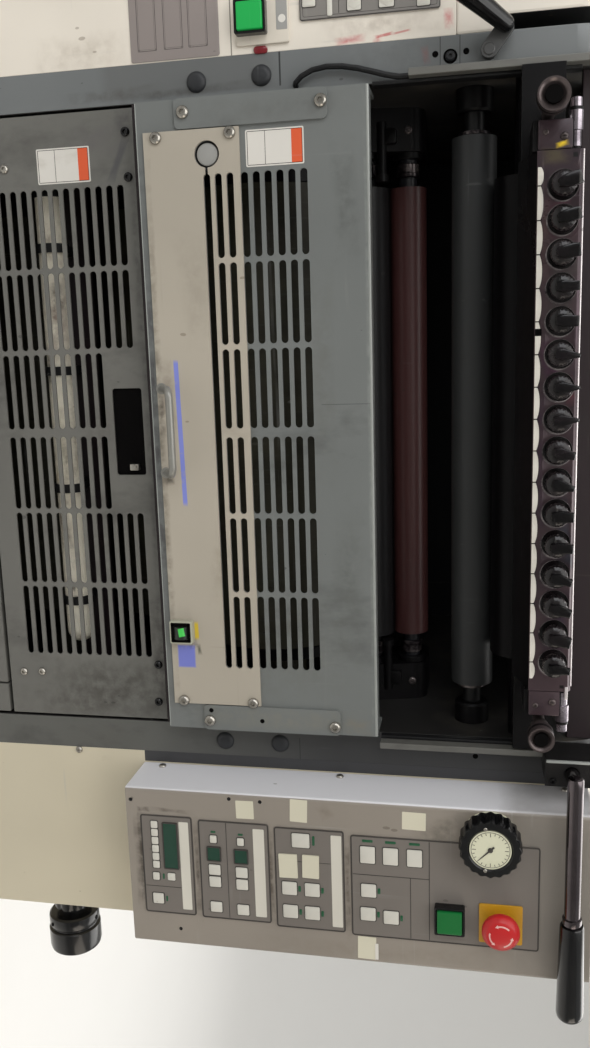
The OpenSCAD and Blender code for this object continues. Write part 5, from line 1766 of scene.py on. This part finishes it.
@dataclass
class CoverTrim(Assembly):
    """Screws, latches, hinges and handles of the covers on every side."""

    front_y: float = -450.0
    back_y: float = 450.0
    side_x: float = 590.0
    top_z: float = 1502.0
    lower_screws: tuple[Flat, ...] = ((283.4, 887.8), (284.3, 864.5), (-284.6, 892.9), (-284.6, 866.0))
    under_bolts: tuple[Flat, ...] = ((-313.0, 1032.4), (269.6, 1034.0), (315.0, 1031.7), (-268.0, 1033.0))

    def make(self) -> None:
        """Builds the fittings of every cover."""
        self.make_front()
        self.make_back()
        for side, axis in reversed(BOTH_SIDES):
            self.make_side(side, axis)
        self.make_top()

    def make_front(self) -> None:
        """Builds the lower cover's screws, silver catch and sticker, and the base cover's screws."""
        base = [(x, z) for x in (-318, -160, 0, 160, 284, 322) for z in (66, 440, 822) if abs(x) > 200 or z != 440]
        mold = Mold().wear("plated")
        mold.screws(self.lower_screws, self.front_y, 4.8)
        mold.screws(base, self.front_y, 4.6)
        mold.screws([(380.4, 927.3)], self.front_y, 4.2)
        mold.wear("gloss_black").screws(self.under_bolts, self.front_y, 4.8)
        self.shop.cast(mold, "front_cover_screws")
        mold = Mold().wear("plated")
        mold.slab(rounded(35.6, 1015.5, 42.6, 1025.5, 1), self.front_y - 3.2, 5, 0.6)
        mold.dots([(39, 1020.4)], self.front_y - 3, [(2.6, 1.6), (3.0, 0)], 18)
        self.shop.cast(mold, "window_catch")
        mold = Mold()
        mold.sticker((-302, 931, -266, 991), (-300.6, 978, -267.4, 989.5), 951.6, self.front_y)
        self.shop.cast(mold, "lower_cover_sticker")

    def make_back(self) -> None:
        """Builds the screws and the pull handles on the back covers."""
        edge = [(x, z) for x in (-322, 322) for z in (62, 520, 976, 1018, 1250, 1474)]
        inner = [(x, z) for x in (-108, 108) for z in (62, 976, 1018, 1474)]
        mold = Mold().wear("plated")
        mold.screws(edge + inner, self.back_y, 6.0, Axis.BACK)
        self.shop.cast(mold, "back_cover_screws")
        mold = Mold().wear("chrome")
        for x, z in ((x, z) for z in (1440, 960) for x in (-150, 150)):
            wire = bent_wire(x - 55, x + 55, -1, 32, 10)
            mold.tube([(along, self.back_y + out, z) for along, out in wire], 5, (0, 0, 1))
            for foot in (x - 55, x + 55):
                mold.lathe((foot, self.back_y - 0.3, z), Axis.BACK, [(9.5, 0), (9.5, 1.4), (8.4, 2.2)], 24)
        self.shop.cast(mold, "back_pull_handles")

    def make_side(self, side: int, axis: Axis) -> None:
        """Builds the hinges, quarter-turn latches and screws of the doors in one side cover.

        Args:
            side: 1 on the right, -1 on the left.
            axis: The way that the cover faces.
        """
        name, top = ("right", 1520) if side > 0 else ("left", 1373)
        middle, face = (45 + top) / 2, side * self.side_x
        mold = Mold().wear("iron")
        for y in (-313, 383):
            for z in (140, middle - 60, middle + 60, top - 95):
                mold.lathe((face, y, z - 22), Axis.UP, [(5.5, 0), (6, 0.8), (6, 43.2), (5.5, 44)], 20)
        latches = [(y, z) for y in (20, 100) for z in (middle - 160, middle + 160)]
        for finish, x, profile, sides in (
            ("gloss_black", face, [(15, -0.4), (15, 2.4), (13.4, 4)], 32),
            ("plated", face + side * 3.8, [(6.5, 0), (6.5, 2.6), (5.6, 3.4)], 24),
        ):
            for latch in latches:
                mold.wear(finish).lathe((x, *latch), axis, profile, sides)
        for screw in ((y, z) for y in (-425, -350, 420) for z in (75, middle, top - 62)):
            mold.screw((face, *screw), 6, axis)
        self.shop.cast(mold, f"{name}_cover_fittings")

    def make_top(self) -> None:
        """Builds the top cover's screws, hatch hinges and hatch pull."""
        mold = Mold().wear("plated")
        for x in (-318, 0, 318):
            for y in (-372, 415):
                mold.screw((x, y, self.top_z), 6, Axis.UP)
        for x in (-174, 126):
            mold.lathe((x, 203.5, self.top_z + 6), Axis.RIGHT, [(5.4, 0), (6, 0.8), (6, 47.2), (5.4, 48)], 18)
        self.shop.cast(mold, "top_cover_fittings")
        mold = Mold().wear("chrome")
        wire = bent_wire(-45, 45, self.top_z - 1, self.top_z + 22, 8)
        mold.tube([(x, -120, z) for x, z in wire], 4.5, (0, 1, 0))
        self.shop.cast(mold, "hatch_pull")


@dataclass
class InnerTrim(Assembly):
    """The plate cylinder's bearer rings and the plug at the pipe's end."""

    plate: Flat = (-305.0, 1150.0)
    pipe: Flat = (-405.0, 921.0)

    def make(self) -> None:
        """Builds the rings and the plug."""
        mold = Mold().wear("soot")
        for side, axis in BOTH_SIDES:
            mold.lathe((side * 262, *self.plate), axis, [(99.5, 0), (101, 1), (101, 14), (96, 15)], 64)
        self.shop.cast(mold, "plate_bearer_rings", "plate_rotor")
        mold = Mold().wear("iron")
        plug = [(17.5, 0), (18.5, 1), (18.5, 16), (12, 18), (12, 30)]
        mold.lathe((-259, *self.pipe), Axis.LEFT, plug, 32)
        self.shop.cast(mold, "pipe_end_plug")


def main() -> None:
    """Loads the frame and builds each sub-assembly in order."""
    logging.basicConfig(level=logging.INFO, format="%(message)s")
    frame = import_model()
    studio = Studio()
    studio.place_camera()
    studio.light()
    studio.lay_floor()
    shop = Shop(frame)
    shop.dress_nodes()
    for assembly in (GuardTrim, OpeningTrim, FountainTrim, ControlPanel, Dial, StopHead, Levers, HandKnob,
                     LeftPanelTrim, FrameTrim, CoverTrim, InnerTrim):
        LOG.info("building %s", assembly.__name__)
        assembly(shop).make()
    bpy.context.scene.view_settings.view_transform = "Standard"


if __name__ == "__main__":
    main()
